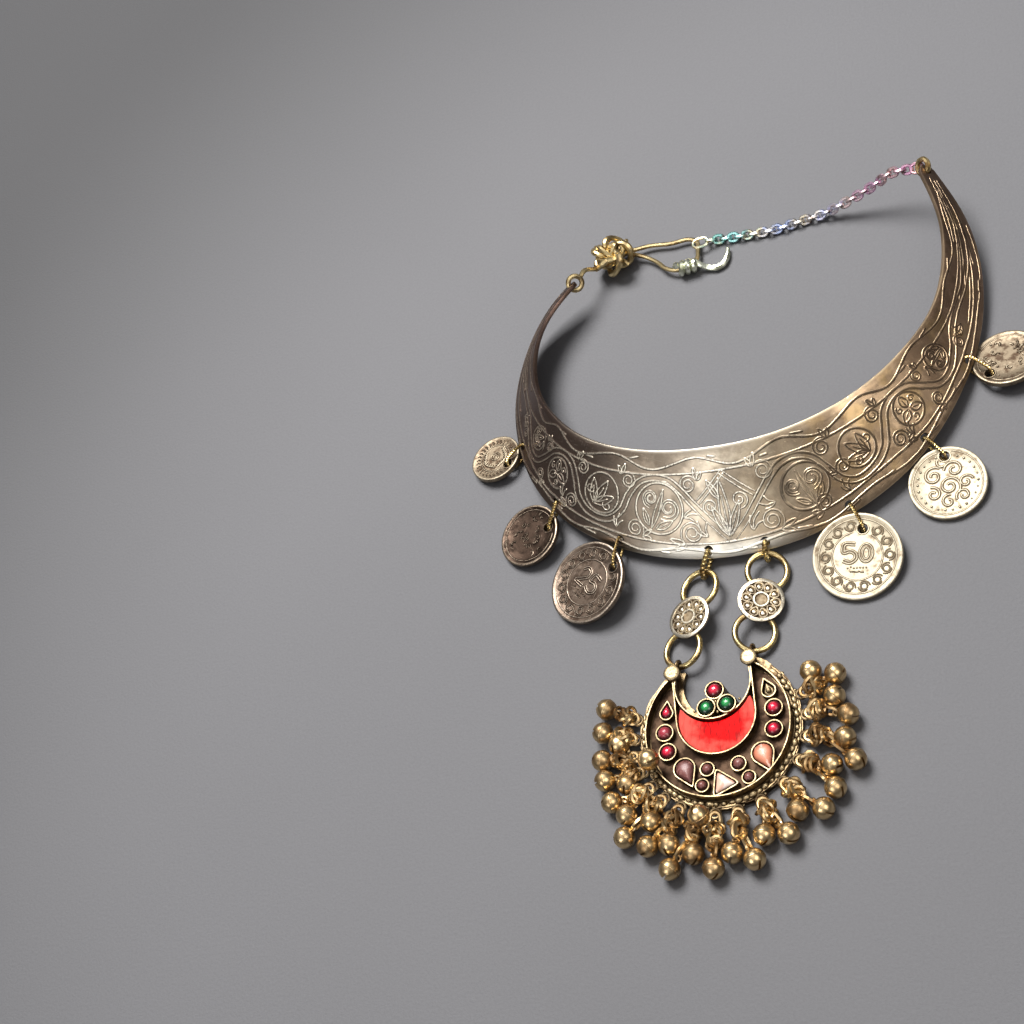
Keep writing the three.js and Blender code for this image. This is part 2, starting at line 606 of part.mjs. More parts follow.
/** A link through the rim's eye and a shank from its far end to each bell, all joined. */
function bellCluster(cluster) {
  const knot = pendantPlace([...cluster.knot, BELL_LINK.knotZ]);
  const start = pendantPlace([cluster.eye, RIM_EYE.reach - BELL_LINK.inside, BELL_LINK.z]);
  const pieces = [ovalLink(start, knot, BELL_LINK.halfWidth, BELL_LINK.wire, UP)];
  for (const [bearing, reach, z = BELL.radius + 0.03] of cluster.bells) {
    const middle = pendantPlace([bearing, reach, z]);
    pieces.push(bellShank(knot, middle), bell(middle));
  }
  return join(pieces);
}

// Hanger links -------------------------------------------------------------------------------

function rosette() {
  const shape = new THREE.Shape();
  const points = 3 * HANGER.petals;
  for (let index = 0; index < points; index += 1) {
    const angle = (index / points) * 2 * Math.PI;
    const radius = index % 3 === 0 ? HANGER.rosette - 0.7 : HANGER.rosette;
    shape[index === 0 ? "moveTo" : "lineTo"](radius * Math.cos(angle), radius * Math.sin(angle));
  }
  const disc = slab(shape, HANGER.wire - 0.25, HANGER.wire + 0.75);
  const boss = cylinder(0, 0, 1.9, HANGER.wire, HANGER.wire + 1.7, 10);
  return [disc, boss];
}

/** Where the pendant's horn carries a hanger's near ring, in the necklace's own frame. */
function hangerNearRing(hanger) {
  const spot = new THREE.Vector3(hanger.horn * HORN.x, HORN.y, 0).applyAxisAngle(UP, radians(PENDANT.turned));
  const reach = HORN_EYE.out + HANGER.ringRadius;
  spot.add(new THREE.Vector3(PENDANT.x, PENDANT.y, 0));
  return spot.addScaledVector(bearingDirection(hanger.hornBearing), reach);
}

function addHanger(parent, hanger) {
  const rings = [-1, 1].map((end) => {
    const middle = new THREE.Vector3((end * HANGER.spacing) / 2, 0, 0);
    return wireRing(middle, new THREE.Vector3(1, 0, 0), new THREE.Vector3(0, 1, 0), HANGER.ringRadius, HANGER.wire, 18);
  });
  const mesh = new THREE.Mesh(join([...rings, ...rosette()]), FINISHES.brass);
  mesh.name = `hanger_link_${hanger.side}`;
  const near = hangerNearRing(hanger);
  const middle = near.addScaledVector(bearingDirection(hanger.bearing), HANGER.spacing / 2);
  mesh.position.set(middle.x, middle.y, HANGER.z);
  mesh.rotation.set(radians(hanger.roll), 0, radians(hanger.bearing), "ZYX");
  parent.add(mesh);
}

/** The oval jump ring from the collar's hole round the hanger's far ring. */
function addHangerRing(parent, hanger) {
  const hole = sheetPoint(collarFrame(hanger.holeTurn), COLLAR.holeInset);
  const farRing = hangerNearRing(hanger).addScaledVector(bearingDirection(hanger.bearing), HANGER.spacing);
  const toHole = hole.clone().sub(farRing).setZ(0);
  const reach = HANGER.ringRadius - HANGER.wire - GAP - HANGER_RING.wire;
  const near = farRing.clone().addScaledVector(toHole.normalize(), reach).setZ(HANGER_RING.z);
  const far = hole.clone().addScaledVector(toHole, 0.3).setZ(HANGER_RING.z);
  const link = ovalLink(near, far, HANGER_RING.halfWidth, HANGER_RING.wire, UP, 18, 5);
  addSolid(parent, `hanger_ring_${hanger.side}`, link, FINISHES.brass);
}

// The clasp ----------------------------------------------------------------------------------

/** The middle line of the tangled wire knot. */
class KnotCurve extends THREE.Curve {
  getPoint(share) {
    const round = share * 2 * Math.PI;
    const reach = KNOT.radius + KNOT.swell * Math.cos(KNOT.lobes * round);
    const x = reach * Math.cos(KNOT.turns * round);
    const y = reach * Math.sin(KNOT.turns * round);
    const z = KNOT.rise * Math.sin(KNOT.lobes * round);
    return new THREE.Vector3(KNOT.x + x, KNOT.y + y, KNOT.z + z);
  }
}

/** The ring through a tip's hole, in the plane of the tip's length and its sheet's normal. */
function tipRing(side) {
  const frame = tipHoleFrame(side);
  const middle = frame.hole.clone().addScaledVector(frame.toTip, TIP_RING.radius);
  return { middle, far: middle.clone().addScaledVector(frame.toTip, TIP_RING.radius), frame };
}

function claspWire() {
  const ring = tipRing(-1);
  const loop = wireRing(ring.middle, ring.frame.toTip, ring.frame.normal, TIP_RING.radius, TIP_RING.wire);
  const knotCurve = new KnotCurve();
  const entry = knotCurve.getPoint(KNOT_ENTRY);
  const exit = knotCurve.getPoint(KNOT_EXIT);
  const neck = wireAlong([ring.far, ...CLASP_NECK.map(at), entry], CLASP_WIRE, 6);
  const knot = new THREE.TubeGeometry(knotCurve, 46, CLASP_WIRE + 0.05, 4, true);
  const eyeCurve = new THREE.CatmullRomCurve3([exit, ...CLASP_LOOP.map(at)], true, "centripetal");
  const eye = new THREE.TubeGeometry(eyeCurve, 32, CLASP_WIRE, 5, true);
  return join([loop, neck, knot, eye]);
}

function claspHook() {
  const axis = bearingDirection(HOOK_AXIS.bearing);
  const side = UP.clone().cross(axis);
  const radius = CLASP_WIRE + GAP + HOOK.wire;
  const points = [];
  const perTurn = 6;
  for (let index = 0; index <= HOOK.wraps * perTurn; index += 1) {
    const angle = (index / perTurn) * 2 * Math.PI;
    const point = new THREE.Vector3(HOOK_AXIS.x, HOOK_AXIS.y, HOOK_AXIS.z);
    point.addScaledVector(axis, (HOOK.pitch * index) / perTurn);
    point.addScaledVector(side, radius * Math.sin(angle)).addScaledVector(UP, radius * Math.cos(angle));
    points.push(point);
  }
  return wireAlong([...points, ...HOOK_TAIL.map(at)], HOOK.wire, 44, 5);
}

/** The chain as one tube, with its first link round the clasp wire and its last in the tip ring. */
function claspChain() {
  const { halfWidth, wire, length } = CHAIN_END_LINK;
  const { middle, frame } = tipRing(1);
  const route = CHAIN_ROUTE.map(at);
  const pull = route[route.length - 1].clone().sub(middle);
  const held = pull.addScaledVector(frame.across, -pull.dot(frame.across)).normalize();
  const contact = middle.clone().addScaledVector(held, TIP_RING.radius);
  const toRing = contact.clone().sub(route[route.length - 1]).normalize();
  const hooked = contact.clone().addScaledVector(toRing, TIP_RING.wire + GAP + wire);
  const tubeEnd = hooked.clone().addScaledVector(toRing, -length);
  const [startFrom, startTo] = CHAIN_START_LINK.map(at);
  return join([
    wireAlong([startTo, ...route, tubeEnd], CHAIN_RADIUS, 20, 8),
    ovalLink(startFrom, startTo, halfWidth, wire, UP, 12, 5),
    ovalLink(tubeEnd, hooked, halfWidth, wire, frame.across, 12, 5),
  ]);
}

// The necklace -------------------------------------------------------------------------------

const necklace = new THREE.Group();
const laid = new THREE.Group();
laid.position.set(-BOX_MIDDLE.x, -BOX_MIDDLE.y, 0);
necklace.add(laid);

addSolid(laid, "collar_plate", collarPlate(), FINISHES.collar);
for (const coin of COINS) {
  const dark = coin.name === "coin_left_1" || coin.name === "coin_left_2";
  addCoin(laid, coin, dark ? FINISHES.darkCoin : FINISHES.brightCoin);
}
for (const ring of COIN_RINGS) addCoinRing(laid, ring);

const pendant = new THREE.Group();
pendant.position.set(PENDANT.x, PENDANT.y, 0);
pendant.rotation.z = radians(PENDANT.turned);
laid.add(pendant);
addSolid(pendant, "pendant_frame", pendantFrame(), FINISHES.oldBrass);
addSolid(pendant, "crescent_glass", crescentGlass(), FINISHES.red);
for (const stone of STONES) {
  const mesh = new THREE.Mesh(stoneGeometry(stone), FINISHES[STONE_FINISHES[stone.name] ?? "red"]);
  mesh.name = stone.name;
  mesh.position.set(stone.x, stone.y, 0);
  pendant.add(mesh);
}
BELL_CLUSTERS.forEach((cluster, index) => {
  addSolid(pendant, `bell_cluster_${index + 1}`, bellCluster(cluster), FINISHES.oldBrass);
});
for (const hanger of HANGERS) {
  addHanger(laid, hanger);
  addHangerRing(laid, hanger);
}

addSolid(laid, "clasp_wire", claspWire(), FINISHES.brass);
addSolid(laid, "clasp_hook", claspHook(), FINISHES.hook);
addSolid(laid, "clasp_chain", claspChain(), FINISHES.brass);
const rightRing = tipRing(1);
const rightRingSolid = wireRing(
  rightRing.middle, rightRing.frame.toTip, rightRing.frame.normal, TIP_RING.radius, TIP_RING.wire,
);
addSolid(laid, "tip_ring", rightRingSolid, FINISHES.brass);

export default necklace;
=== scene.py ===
"""Dresses a tribal-silver torc necklace: the collar and its engraving, the coins, the pendant with
its stones and bells, the hangers and the clasp, laid on a plain surface in soft light.

Sizes are millimetres on the bench, where +X is the wearer's left, +Y runs from the front of the
collar to its clasp and z = 0 is the surface. A piece is moved into the frame, in metres, as it is
finished.
"""

import logging
import math
import random
from dataclasses import dataclass, field
from enum import Enum
from functools import lru_cache
from typing import Callable, Optional, Sequence

import bmesh
import bpy
from mathutils import Matrix, Vector, noise
from mathutils.kdtree import KDTree


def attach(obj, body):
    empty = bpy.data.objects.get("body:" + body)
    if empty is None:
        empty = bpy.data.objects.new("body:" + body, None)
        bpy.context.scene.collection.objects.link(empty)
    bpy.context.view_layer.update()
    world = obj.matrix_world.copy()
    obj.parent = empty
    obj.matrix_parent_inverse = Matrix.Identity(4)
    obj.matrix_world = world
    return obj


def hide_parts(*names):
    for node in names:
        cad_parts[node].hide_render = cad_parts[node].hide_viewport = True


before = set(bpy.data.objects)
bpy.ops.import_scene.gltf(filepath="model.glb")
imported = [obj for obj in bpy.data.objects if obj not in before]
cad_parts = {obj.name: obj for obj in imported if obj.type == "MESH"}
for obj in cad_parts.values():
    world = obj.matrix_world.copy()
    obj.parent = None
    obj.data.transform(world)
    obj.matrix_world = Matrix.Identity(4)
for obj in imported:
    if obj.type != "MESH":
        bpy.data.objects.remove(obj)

LOG = logging.getLogger("necklace")

Colour = tuple[float, float, float]
Path = list[Vector]
Spot = tuple[float, float]
Shape = bmesh.types.BMesh
Piece = bpy.types.Object
Material = bpy.types.Material
Socket = bpy.types.NodeSocket

MM = 0.001
UP = Vector((0.0, 0.0, 1.0))
BOX_MIDDLE = Vector((2.5, -58.45, 0.0))  # the point of the bench that stands over the origin
TO_FRAME = Matrix.Scale(MM, 4) @ Matrix.Translation(-BOX_MIDDLE)
GAP = 0.3  # between pieces that touch on the real necklace
RELIEF = "relief"  # vertex attribute: 1 on crests, painted light as rubbed metal and as highlight; -1 in hollows, painted dark as tarnish and as shade
MERGE = 1e-5  # points nearer than this are one
SCROLL_STEP = 0.35  # between two points of a scroll
CURVE_PARTS = 12  # parts of a curve between two of its given points


# Drawing helpers ------------------------------------------------------------------------------


def bearing(degrees: float) -> Vector:
    """The level direction with this bearing from +X, in degrees."""
    return Vector((math.cos(math.radians(degrees)), math.sin(math.radians(degrees)), 0.0))


def turned(degrees: float, axis: str | Vector = "Z") -> Matrix:
    """A turn about an axis, in degrees."""
    return Matrix.Rotation(math.radians(degrees), 4, axis)


def moved(x: float, y: float, z: float = 0.0) -> Matrix:
    """A move, in millimetres."""
    return Matrix.Translation((x, y, z))


def basis(side: Vector, lift: Vector, ahead: Vector, origin: Vector) -> Matrix:
    """The matrix whose axes are these three directions, about an origin.

    Args:
        side: The x axis.
        lift: The y axis.
        ahead: The z axis.
        origin: Where it stands.

    Returns:
        The matrix.
    """
    matrix = Matrix((side, lift, ahead)).transposed().to_4x4()
    matrix.translation = origin
    return matrix


def spaced(points: Path, step: float) -> Path:
    """Points at even distances along a run of points.

    Args:
        points: The run of points.
        step: The distance wanted between two points.

    Returns:
        The first point, the last and those between them.
    """
    lengths = [0.0]
    for here, there in zip(points, points[1:]):
        lengths.append(lengths[-1] + (there - here).length)
    count = max(2, round(lengths[-1] / step))
    result, place = [], 0
    for index in range(count + 1):
        want = lengths[-1] * index / count
        while place < len(points) - 2 and lengths[place + 1] < want:
            place += 1
        span = lengths[place + 1] - lengths[place]
        share = (want - lengths[place]) / span if span else 0.0
        result.append(points[place].lerp(points[place + 1], min(1.0, share)))
    return result


def curve_through(points: Sequence[Vector], step: float, closed: bool = False) -> Path:
    """A smooth run of points through the ones given.

    Args:
        points: The points that the curve passes through.
        step: The distance wanted between two points of the run.
        closed: True if the last point leads back to the first.

    Returns:
        The run, which on a closed curve doesn't repeat its first point.
    """
    if closed:
        around = [points[-1], *points, points[0], points[1]]
    else:
        around = [2 * points[0] - points[1], *points, 2 * points[-1] - points[-2]]
    run: Path = []
    for index in range(len(around) - 3):
        before, start, end, after = around[index:index + 4]
        gaps = [max(1e-4, (b - a).length) ** 0.5 for a, b in ((before, start), (start, end), (end, after))]
        leave = (start - before) / gaps[0] - (end - before) / (gaps[0] + gaps[1]) + (end - start) / gaps[1]
        arrive = (end - start) / gaps[1] - (after - start) / (gaps[1] + gaps[2]) + (after - end) / gaps[2]
        leave, arrive = leave * gaps[1], arrive * gaps[1]
        for part in range(CURVE_PARTS):
            t = part / CURVE_PARTS
            run.append(
                start + leave * t + (3 * (end - start) - 2 * leave - arrive) * t * t
                + (2 * (start - end) + leave + arrive) * t ** 3
            )
    run.append(run[0].copy() if closed else points[-1].copy())
    run = spaced(run, step)
    return run[:-1] if closed else run


def circle_points(radius: float, count: int, start: float = 0.0, sweep: float = 360.0) -> Path:
    """Points round a circle about the origin, in the level plane; a full circle isn't repeated."""
    steps = count if sweep == 360.0 else count - 1
    return [bearing(start + sweep * index / steps) * radius for index in range(count)]


def spiral_points(outer: float, inner: float, start: float, turns: float) -> Path:
    """Points of a scroll that winds in about the origin.

    Args:
        outer: Its first radius.
        inner: Its last radius.
        start: The bearing of its first point.
        turns: How often it goes round; negative turns go clockwise.

    Returns:
        The run of points.
    """
    count = 40
    run = []
    for index in range(count + 1):
        share = index / count
        run.append(bearing(start + 360 * turns * share) * (outer + (inner - outer) * share ** 0.8))
    return spaced(run, SCROLL_STEP)


def beside(line: Path, offset: float) -> Path:
    """A run of points moved sideways, to its right for an offset over 0.

    Args:
        line: The run of points.
        offset: How far it is moved.

    Returns:
        The moved run.
    """
    run = []
    for index, point in enumerate(line):
        ahead = (line[min(index + 1, len(line) - 1)] - line[max(index - 1, 0)]).normalized()
        run.append(point + ahead.cross(UP) * offset)
    return run


def sideways(ahead: Vector, roll: float) -> Vector:
    """The direction across a run that heads this way, rolled about it in degrees."""
    return Matrix.Rotation(math.radians(roll), 3, ahead) @ ahead.cross(UP).normalized()


def degrees_up(height: float, reach: float) -> float:
    """The bearing at which a circle of this reach is this high."""
    return math.degrees(math.asin(height / reach))


# Mesh making ----------------------------------------------------------------------------------


def loft(sections: Sequence[Sequence[Vector]], closed: bool = False,
         relief: Optional[Sequence[float]] = None) -> Shape:
    """A skin drawn by extruding one closed outline through a run of others, its open ends filled.

    Args:
        sections: The outlines, each with as many points as the first.
        closed: True if the last outline leads back to the first.
        relief: The relief value of each point of an outline.

    Returns:
        The skin as a bmesh, its faces outwards.
    """
    skin = bmesh.new()
    layer = skin.verts.layers.float.new(RELIEF)
    ring = [skin.verts.new(point) for point in sections[0]]
    for vert, value in zip(ring, relief or ()):
        vert[layer] = value
    edges = [skin.edges.new((ring[index - 1], ring[index])) for index in range(len(ring))]
    first = edges
    for section in [*sections[1:], *([sections[0]] if closed else [])]:
        made = bmesh.ops.extrude_edge_only(skin, edges=edges)["geom"]
        fresh = {item for item in made if isinstance(item, bmesh.types.BMVert)}
        follow = []
        for old, point in zip(ring, section):
            new = next(edge.other_vert(old) for edge in old.link_edges if edge.other_vert(old) in fresh)
            new.co = point
            follow.append(new)
        edges = [item for item in made if isinstance(item, bmesh.types.BMEdge)
                 and item.verts[0] in fresh and item.verts[1] in fresh]
        ring = follow
    if closed:
        bmesh.ops.remove_doubles(skin, verts=skin.verts, dist=MERGE)
    else:
        bmesh.ops.holes_fill(skin, edges=first + edges, sides=0)
    bmesh.ops.recalc_face_normals(skin, faces=skin.faces)
    return skin


def path_frames(points: Path, closed: bool, lifts: Optional[Sequence[Vector]] = None) -> list[Matrix]:
    """A frame at each point of a path, its z axis ahead along the path.

    Args:
        points: The path.
        closed: True if the last point leads back to the first.
        lifts: The direction of each frame's y axis, made square to the path. Without them a frame
            is carried from point to point without twist.

    Returns:
        The frames.
    """
    frames = []
    lift = None
    for index, point in enumerate(points):
        before = points[index - 1] if closed or index else point
        after = points[(index + 1) % len(points)] if closed or index + 1 < len(points) else point
        ahead = (after - before).normalized()
        if lifts is not None:
            lift = lifts[index]
        elif lift is None:
            lift = UP if abs(ahead.z) < 0.9 else Vector((1.0, 0.0, 0.0))
        lift = (lift - ahead * lift.dot(ahead)).normalized()
        frames.append(basis(lift.cross(ahead), lift, ahead, point))
    return frames


def swept(frames: Sequence[Matrix], profile: Sequence[Spot], half: float = 1.0) -> list[Path]:
    """The outlines of one section at all of these frames, with its distances out times half."""
    return [[at @ Vector((out * half, rise, 0.0)) for out, rise in profile] for at in frames]


def wire(points: Path, radius: float | Callable[[float], float], sides: int, closed: bool = False,
         lifts: Optional[Sequence[Vector]] = None) -> Shape:
    """A drawn wire along a path.

    Args:
        points: The path.
        radius: The wire's radius, or a function that gives it for a share of the path.
        sides: Sides of its section.
        closed: True for a ring or link.
        lifts: The directions of the section's y axis, as path_frames takes them.

    Returns:
        The wire as a bmesh.
    """
    sections = []
    for index, at in enumerate(path_frames(points, closed, lifts)):
        reach = radius if isinstance(radius, (int, float)) else radius(index / (len(points) - 1))
        sections.append([at @ Vector((p.x * reach, p.y * reach, 0.0)) for p in circle_points(1.0, sides)])
    # painted light: the side of the wire towards its lift, the top of a level ring, gets a light relief as a highlight
    # and the other side a dark one as shade
    relief = [0.35 * math.sin(2 * math.pi * side / sides) for side in range(sides)]
    return loft(sections, closed=closed, relief=relief)


def level_ring(radius: float, gauge: float, count: int, sides: int) -> Shape:
    """A ring of wire about z, in count steps."""
    return wire(circle_points(radius, count), gauge, sides, closed=True, lifts=[UP] * count)


def wall(outline: Path, profile: Sequence[Spot], relief: Sequence[float]) -> Shape:
    """A low wall that follows a closed outline.

    Args:
        outline: The outline, anticlockwise.
        profile: The wall's section as distances out from the outline and heights.
        relief: The relief value of each point of the section.

    Returns:
        The wall as a bmesh.
    """
    sections = []
    for index, point in enumerate(outline):
        before, after = outline[index - 1], outline[(index + 1) % len(outline)]
        first = (point - before).normalized().cross(UP)
        second = (after - point).normalized().cross(UP)
        out = (first + second).normalized()
        mitre = out / max(0.55, out.dot(first))
        sections.append([point + mitre * reach + UP * z for reach, z in profile])
    return loft(sections, closed=True, relief=relief)


def dome(outline: Path, base: float, height: float, rings: int, edge: float) -> Shape:
    """A domed solid over a closed outline, such as a cabochon or a petal.

    Args:
        outline: The outline, anticlockwise.
        base: The height of its foot.
        height: How far its crown stands over the straight edge.
        rings: Rows of faces from the edge to the crown.
        edge: The height of the straight edge over the foot.

    Returns:
        The dome as a bmesh, with relief 0 at the edge and 1 on the crown.
    """
    middle = sum(outline, Vector()) / len(outline)
    sections = [[point + UP * base for point in outline]]
    for ring in range(rings):
        slope = math.radians(86) * ring / (rings - 1)
        rise = base + edge + height * math.sin(slope)
        sections.append([middle.lerp(point, math.cos(slope)) + UP * rise for point in outline])
    solid = loft(sections)
    layer = solid.verts.layers.float[RELIEF]
    for vert in solid.verts:
        vert[layer] = max(0.0, (vert.co.z - base - edge) / max(height, 1e-6))
    return solid


def lathe(profile: Sequence[Spot], steps: int, relief: Optional[Sequence[float]] = None) -> Shape:
    """A turned solid about z.

    Args:
        profile: Radii and heights, from one end of the axis to the other.
        steps: Faces round it.
        relief: The relief value of each point of the profile.

    Returns:
        The solid as a bmesh, its poles closed.
    """
    solid = bmesh.new()
    layer = solid.verts.layers.float.new(RELIEF)
    verts = [solid.verts.new((radius, 0.0, z)) for radius, z in profile]
    for vert, value in zip(verts, relief or ()):
        vert[layer] = value
    edges = [solid.edges.new(pair) for pair in zip(verts, verts[1:])]
    bmesh.ops.spin(solid, geom=verts + edges, axis=UP, cent=Vector(), dvec=Vector(), angle=2 * math.pi,
                   steps=steps, use_merge=True)
    bmesh.ops.remove_doubles(solid, verts=solid.verts, dist=MERGE)
    bmesh.ops.recalc_face_normals(solid, faces=solid.faces)
    return solid


def granule(radius: float, detail: int = 1) -> Shape:
    """A little ball of metal, lighter on its crown.

    Args:
        radius: Its radius.
        detail: How finely it is divided.

    Returns:
        The ball as a bmesh.
    """
    ball = bmesh.new()
    layer = ball.verts.layers.float.new(RELIEF)
    bmesh.ops.create_icosphere(ball, subdivisions=detail + 1, radius=radius)
    for vert in ball.verts:
        vert[layer] = max(-0.2, vert.co.z / radius)
    return ball


def oval_points(half_length: float, half_width: float, count: int) -> Path:
    """The middle line of an oval link, long along x, in the x-y plane.

    Args:
        half_length: Half the link's length.
        half_width: Half its width.
        count: How many points.

    Returns:
        The points.
    """
    straight = max(0.0, half_length - half_width)
    run = []
    for index in range(count):
        angle = 2 * math.pi * index / count
        x = half_width * math.cos(angle) + straight * math.tanh(4 * math.cos(angle))
        run.append(Vector((x, half_width * math.sin(angle), 0.0)))
    return run


def ring_between(start: Vector, end: Vector, half_width: float, gauge: float, side: Vector,
                 count: int, sides: int) -> Shape:
    """An oval wire link from one point to another.

    Args:
        start: The middle of the wire at the link's one end.
        end: The same at its other end.
        half_width: Half the link's width, middle line to middle line.
        gauge: The wire's radius.
        side: The direction across the link.
        count: Steps round the link.
        sides: Sides of the wire.

    Returns:
        The link as a bmesh.
    """
    along = end - start
    ahead = along.normalized()
    lift = ahead.cross(side).normalized()
    at = basis(ahead, lift.cross(ahead), lift, start.lerp(end, 0.5))
    half = along.length / 2
    points = [at @ point for point in oval_points(half, min(half_width, half), count)]
    return wire(points, gauge, sides, closed=True, lifts=[lift] * count)


@dataclass
class Workpiece:
    """A piece in the making, in millimetres on the bench.

    Args:
        name: The piece's name.
        place: Where the parts that are added go, from their own frame to the bench.
    """

    name: str
    place: Matrix = field(default_factory=Matrix)
    body: Shape = field(default_factory=bmesh.new)

    def add(self, part: Shape, place: Optional[Matrix] = None, keep: bool = False) -> None:
        """Adds a part at a place of its own, and frees it unless it is kept for another copy.

        Args:
            part: The part.
            place: Its place in the piece's own frame.
            keep: True if it is wanted again.
        """
        mesh = bpy.data.meshes.new("part")
        part.to_mesh(mesh)
        mesh.transform(self.place @ place if place is not None else self.place)
        self.body.from_mesh(mesh)
        bpy.data.meshes.remove(mesh)
        if not keep:
            part.free()

    def cut(self, cutters: "Workpiece") -> None:
        """Takes the cutters' solids away from the piece.

        Args:
            cutters: The piece whose solids are taken away.
        """
        block = bpy.data.objects.new("cut", self.mesh("cut"))
        tool = bpy.data.objects.new("tool", cutters.mesh("tool"))
        for item in (block, tool):
            bpy.context.scene.collection.objects.link(item)
        holes = block.modifiers.new("holes", "BOOLEAN")
        holes.operation, holes.solver, holes.object = "DIFFERENCE", "EXACT", tool
        worked = block.evaluated_get(bpy.context.evaluated_depsgraph_get())
        done = bpy.data.meshes.new_from_object(worked)
        self.body = bmesh.new()
        self.body.from_mesh(done)
        for item in (block, tool):
            mesh = item.data
            bpy.data.objects.remove(item)
            bpy.data.meshes.remove(mesh)
        bpy.data.meshes.remove(done)

    def mesh(self, name: str) -> bpy.types.Mesh:
        """The piece so far as a mesh, which ends the making of it.

        Args:
            name: The mesh's name.

        Returns:
            The mesh.
        """
        mesh = bpy.data.meshes.new(name)
        self.body.to_mesh(mesh)
        self.body.free()
        return mesh

    def finish(self, material: Material, slot: "Slot", *nodes: str, crease: float = 40.0) -> Piece:
        """Sets the piece in the frame, in its material.

        Args:
            material: Its finish.
            slot: The record's slot that the finish comes from; not used.
            nodes: The CAD nodes that the piece stands for.
            crease: The angle between faces, in degrees, past which an edge stays sharp.

        Returns:
            The finished object.
        """
        mesh = self.mesh(self.name)
        mesh.transform(TO_FRAME)
        mesh.shade_smooth()
        mesh.set_sharp_from_angle(angle=math.radians(crease))
        mesh.materials.append(material)
        piece = bpy.data.objects.new(self.name, mesh)
        bpy.context.scene.collection.objects.link(piece)
        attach(piece, "root")
        if nodes:
            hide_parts(*nodes)
        LOG.info("%s: %d faces, in place of %s", self.name, len(mesh.polygons), ", ".join(nodes) or "nothing")
        return piece


# Finishes -------------------------------------------------------------------------------------


class Slot(Enum):
    """The record's material slots."""

    COLLAR = "collar_metal"
    BRIGHT_COIN = "coin_bright"
    DARK_COIN = "coin_dark"
    RING = "ring_brass"
    PENDANT = "pendant_metal"
    BELL = "bell_metal"
    CLASP = "clasp_metal"
    HOOK = "hook_metal"
    CHAIN = "chain_metal"
    GLASS = "red_glass"
    RED = "red_stone"
    DARK_RED = "dark_red_stone"
    GREEN = "green_stone"
    MAUVE = "mauve_stone"
    ORANGE = "orange_stone"
    PALE = "pale_stone"


class Nodes:
    """Lays shader nodes in a tree and joins them up."""

    def __init__(self, tree: bpy.types.NodeTree) -> None:
        """Takes the tree that the nodes go in."""
        self.tree = tree

    def add(self, kind: str, settings: Optional[dict] = None, **values: object) -> bpy.types.Node:
        """Adds a node.

        Args:
            kind: The node's type without its "ShaderNode" prefix.
            settings: The node's own properties by name.
            values: Its inputs, with underscores for spaces; a socket is joined and a value is set.

        Returns:
            The node.
        """
        node = self.tree.nodes.new(kind if kind.startswith("Node") else f"ShaderNode{kind}")
        for name, value in (settings or {}).items():
            setattr(node, name, value)
        for name, value in values.items():
            self.give(node.inputs[int(name[1:]) if name[0] == "_" else name.replace("_", " ")], value)
        return node

    def give(self, socket: Socket, value: object) -> None:
        """Joins a socket to another, or sets its value.

        Args:
            socket: The input.
            value: A socket to join, or a value.
        """
        if isinstance(value, Socket):
            self.tree.links.new(value, socket)
        elif isinstance(value, tuple) and len(value) == 3 and socket.type == "RGBA":
            socket.default_value = (*value, 1.0)
        else:
            socket.default_value = value

    def mix(self, share: object, first: object, second: object) -> Socket:
        """The colour between two, by a share.

        Args:
            share: How much of the second.
            first: The first colour.
            second: The second colour.

        Returns:
            The mixed colour.
        """
        node = self.add("Mix", {"data_type": "RGBA", "clamp_factor": True})
        self.give(node.inputs["Factor"], share)
        self.give(node.inputs[6], first)
        self.give(node.inputs[7], second)
        return node.outputs[2]

    def sum(self, how: str, *values: object) -> Socket:
        """The result of a maths node.

        Args:
            how: The operation.
            values: Its inputs.

        Returns:
            The result.
        """
        node = self.add("Math", {"operation": how})
        for socket, value in zip(node.inputs, values):
            self.give(socket, value)
        return node.outputs[0]

    def times(self, first: object, second: object) -> Socket:
        """One value times another."""
        return self.sum("MULTIPLY", first, second)

    def plus(self, first: object, second: object) -> Socket:
        """One value and another together."""
        return self.sum("ADD", first, second)

    def sway(self, value: object, amount: float) -> Socket:
        """A noise as a change to both sides of 0."""
        return self.times(self.sum("SUBTRACT", value, 0.5), amount)

    def clouds(self, where: object, scale: object, detail: float, **more: float) -> Socket:
        """A noise over a place, from 0 to 1."""
        return self.add("TexNoise", Vector=where, Scale=scale, Detail=detail, **more).outputs["Fac"]

    def step(self, value: object, low: object, high: object) -> Socket:
        """A value spread smoothly from 0 at low to 1 at high."""
        node = self.add("MapRange", {"interpolation_type": "SMOOTHSTEP"}, Value=value, From_Min=low, From_Max=high)
        return node.outputs["Result"]

    def ramp(self, value: object, stops: Sequence[tuple[float, Colour]]) -> Socket:
        """A colour for a value, from its stops.

        Args:
            value: The value.
            stops: Places from 0 to 1 and their colours.

        Returns:
            The colour.
        """
        node = self.add("ValToRGB", Fac=value)
        stop_list = node.color_ramp.elements
        while len(stop_list) < len(stops):
            stop_list.new(0.5)
        for item, (place, colour) in zip(stop_list, stops):
            item.position = place
            item.color = (*colour, 1.0)
        return node.outputs["Color"]


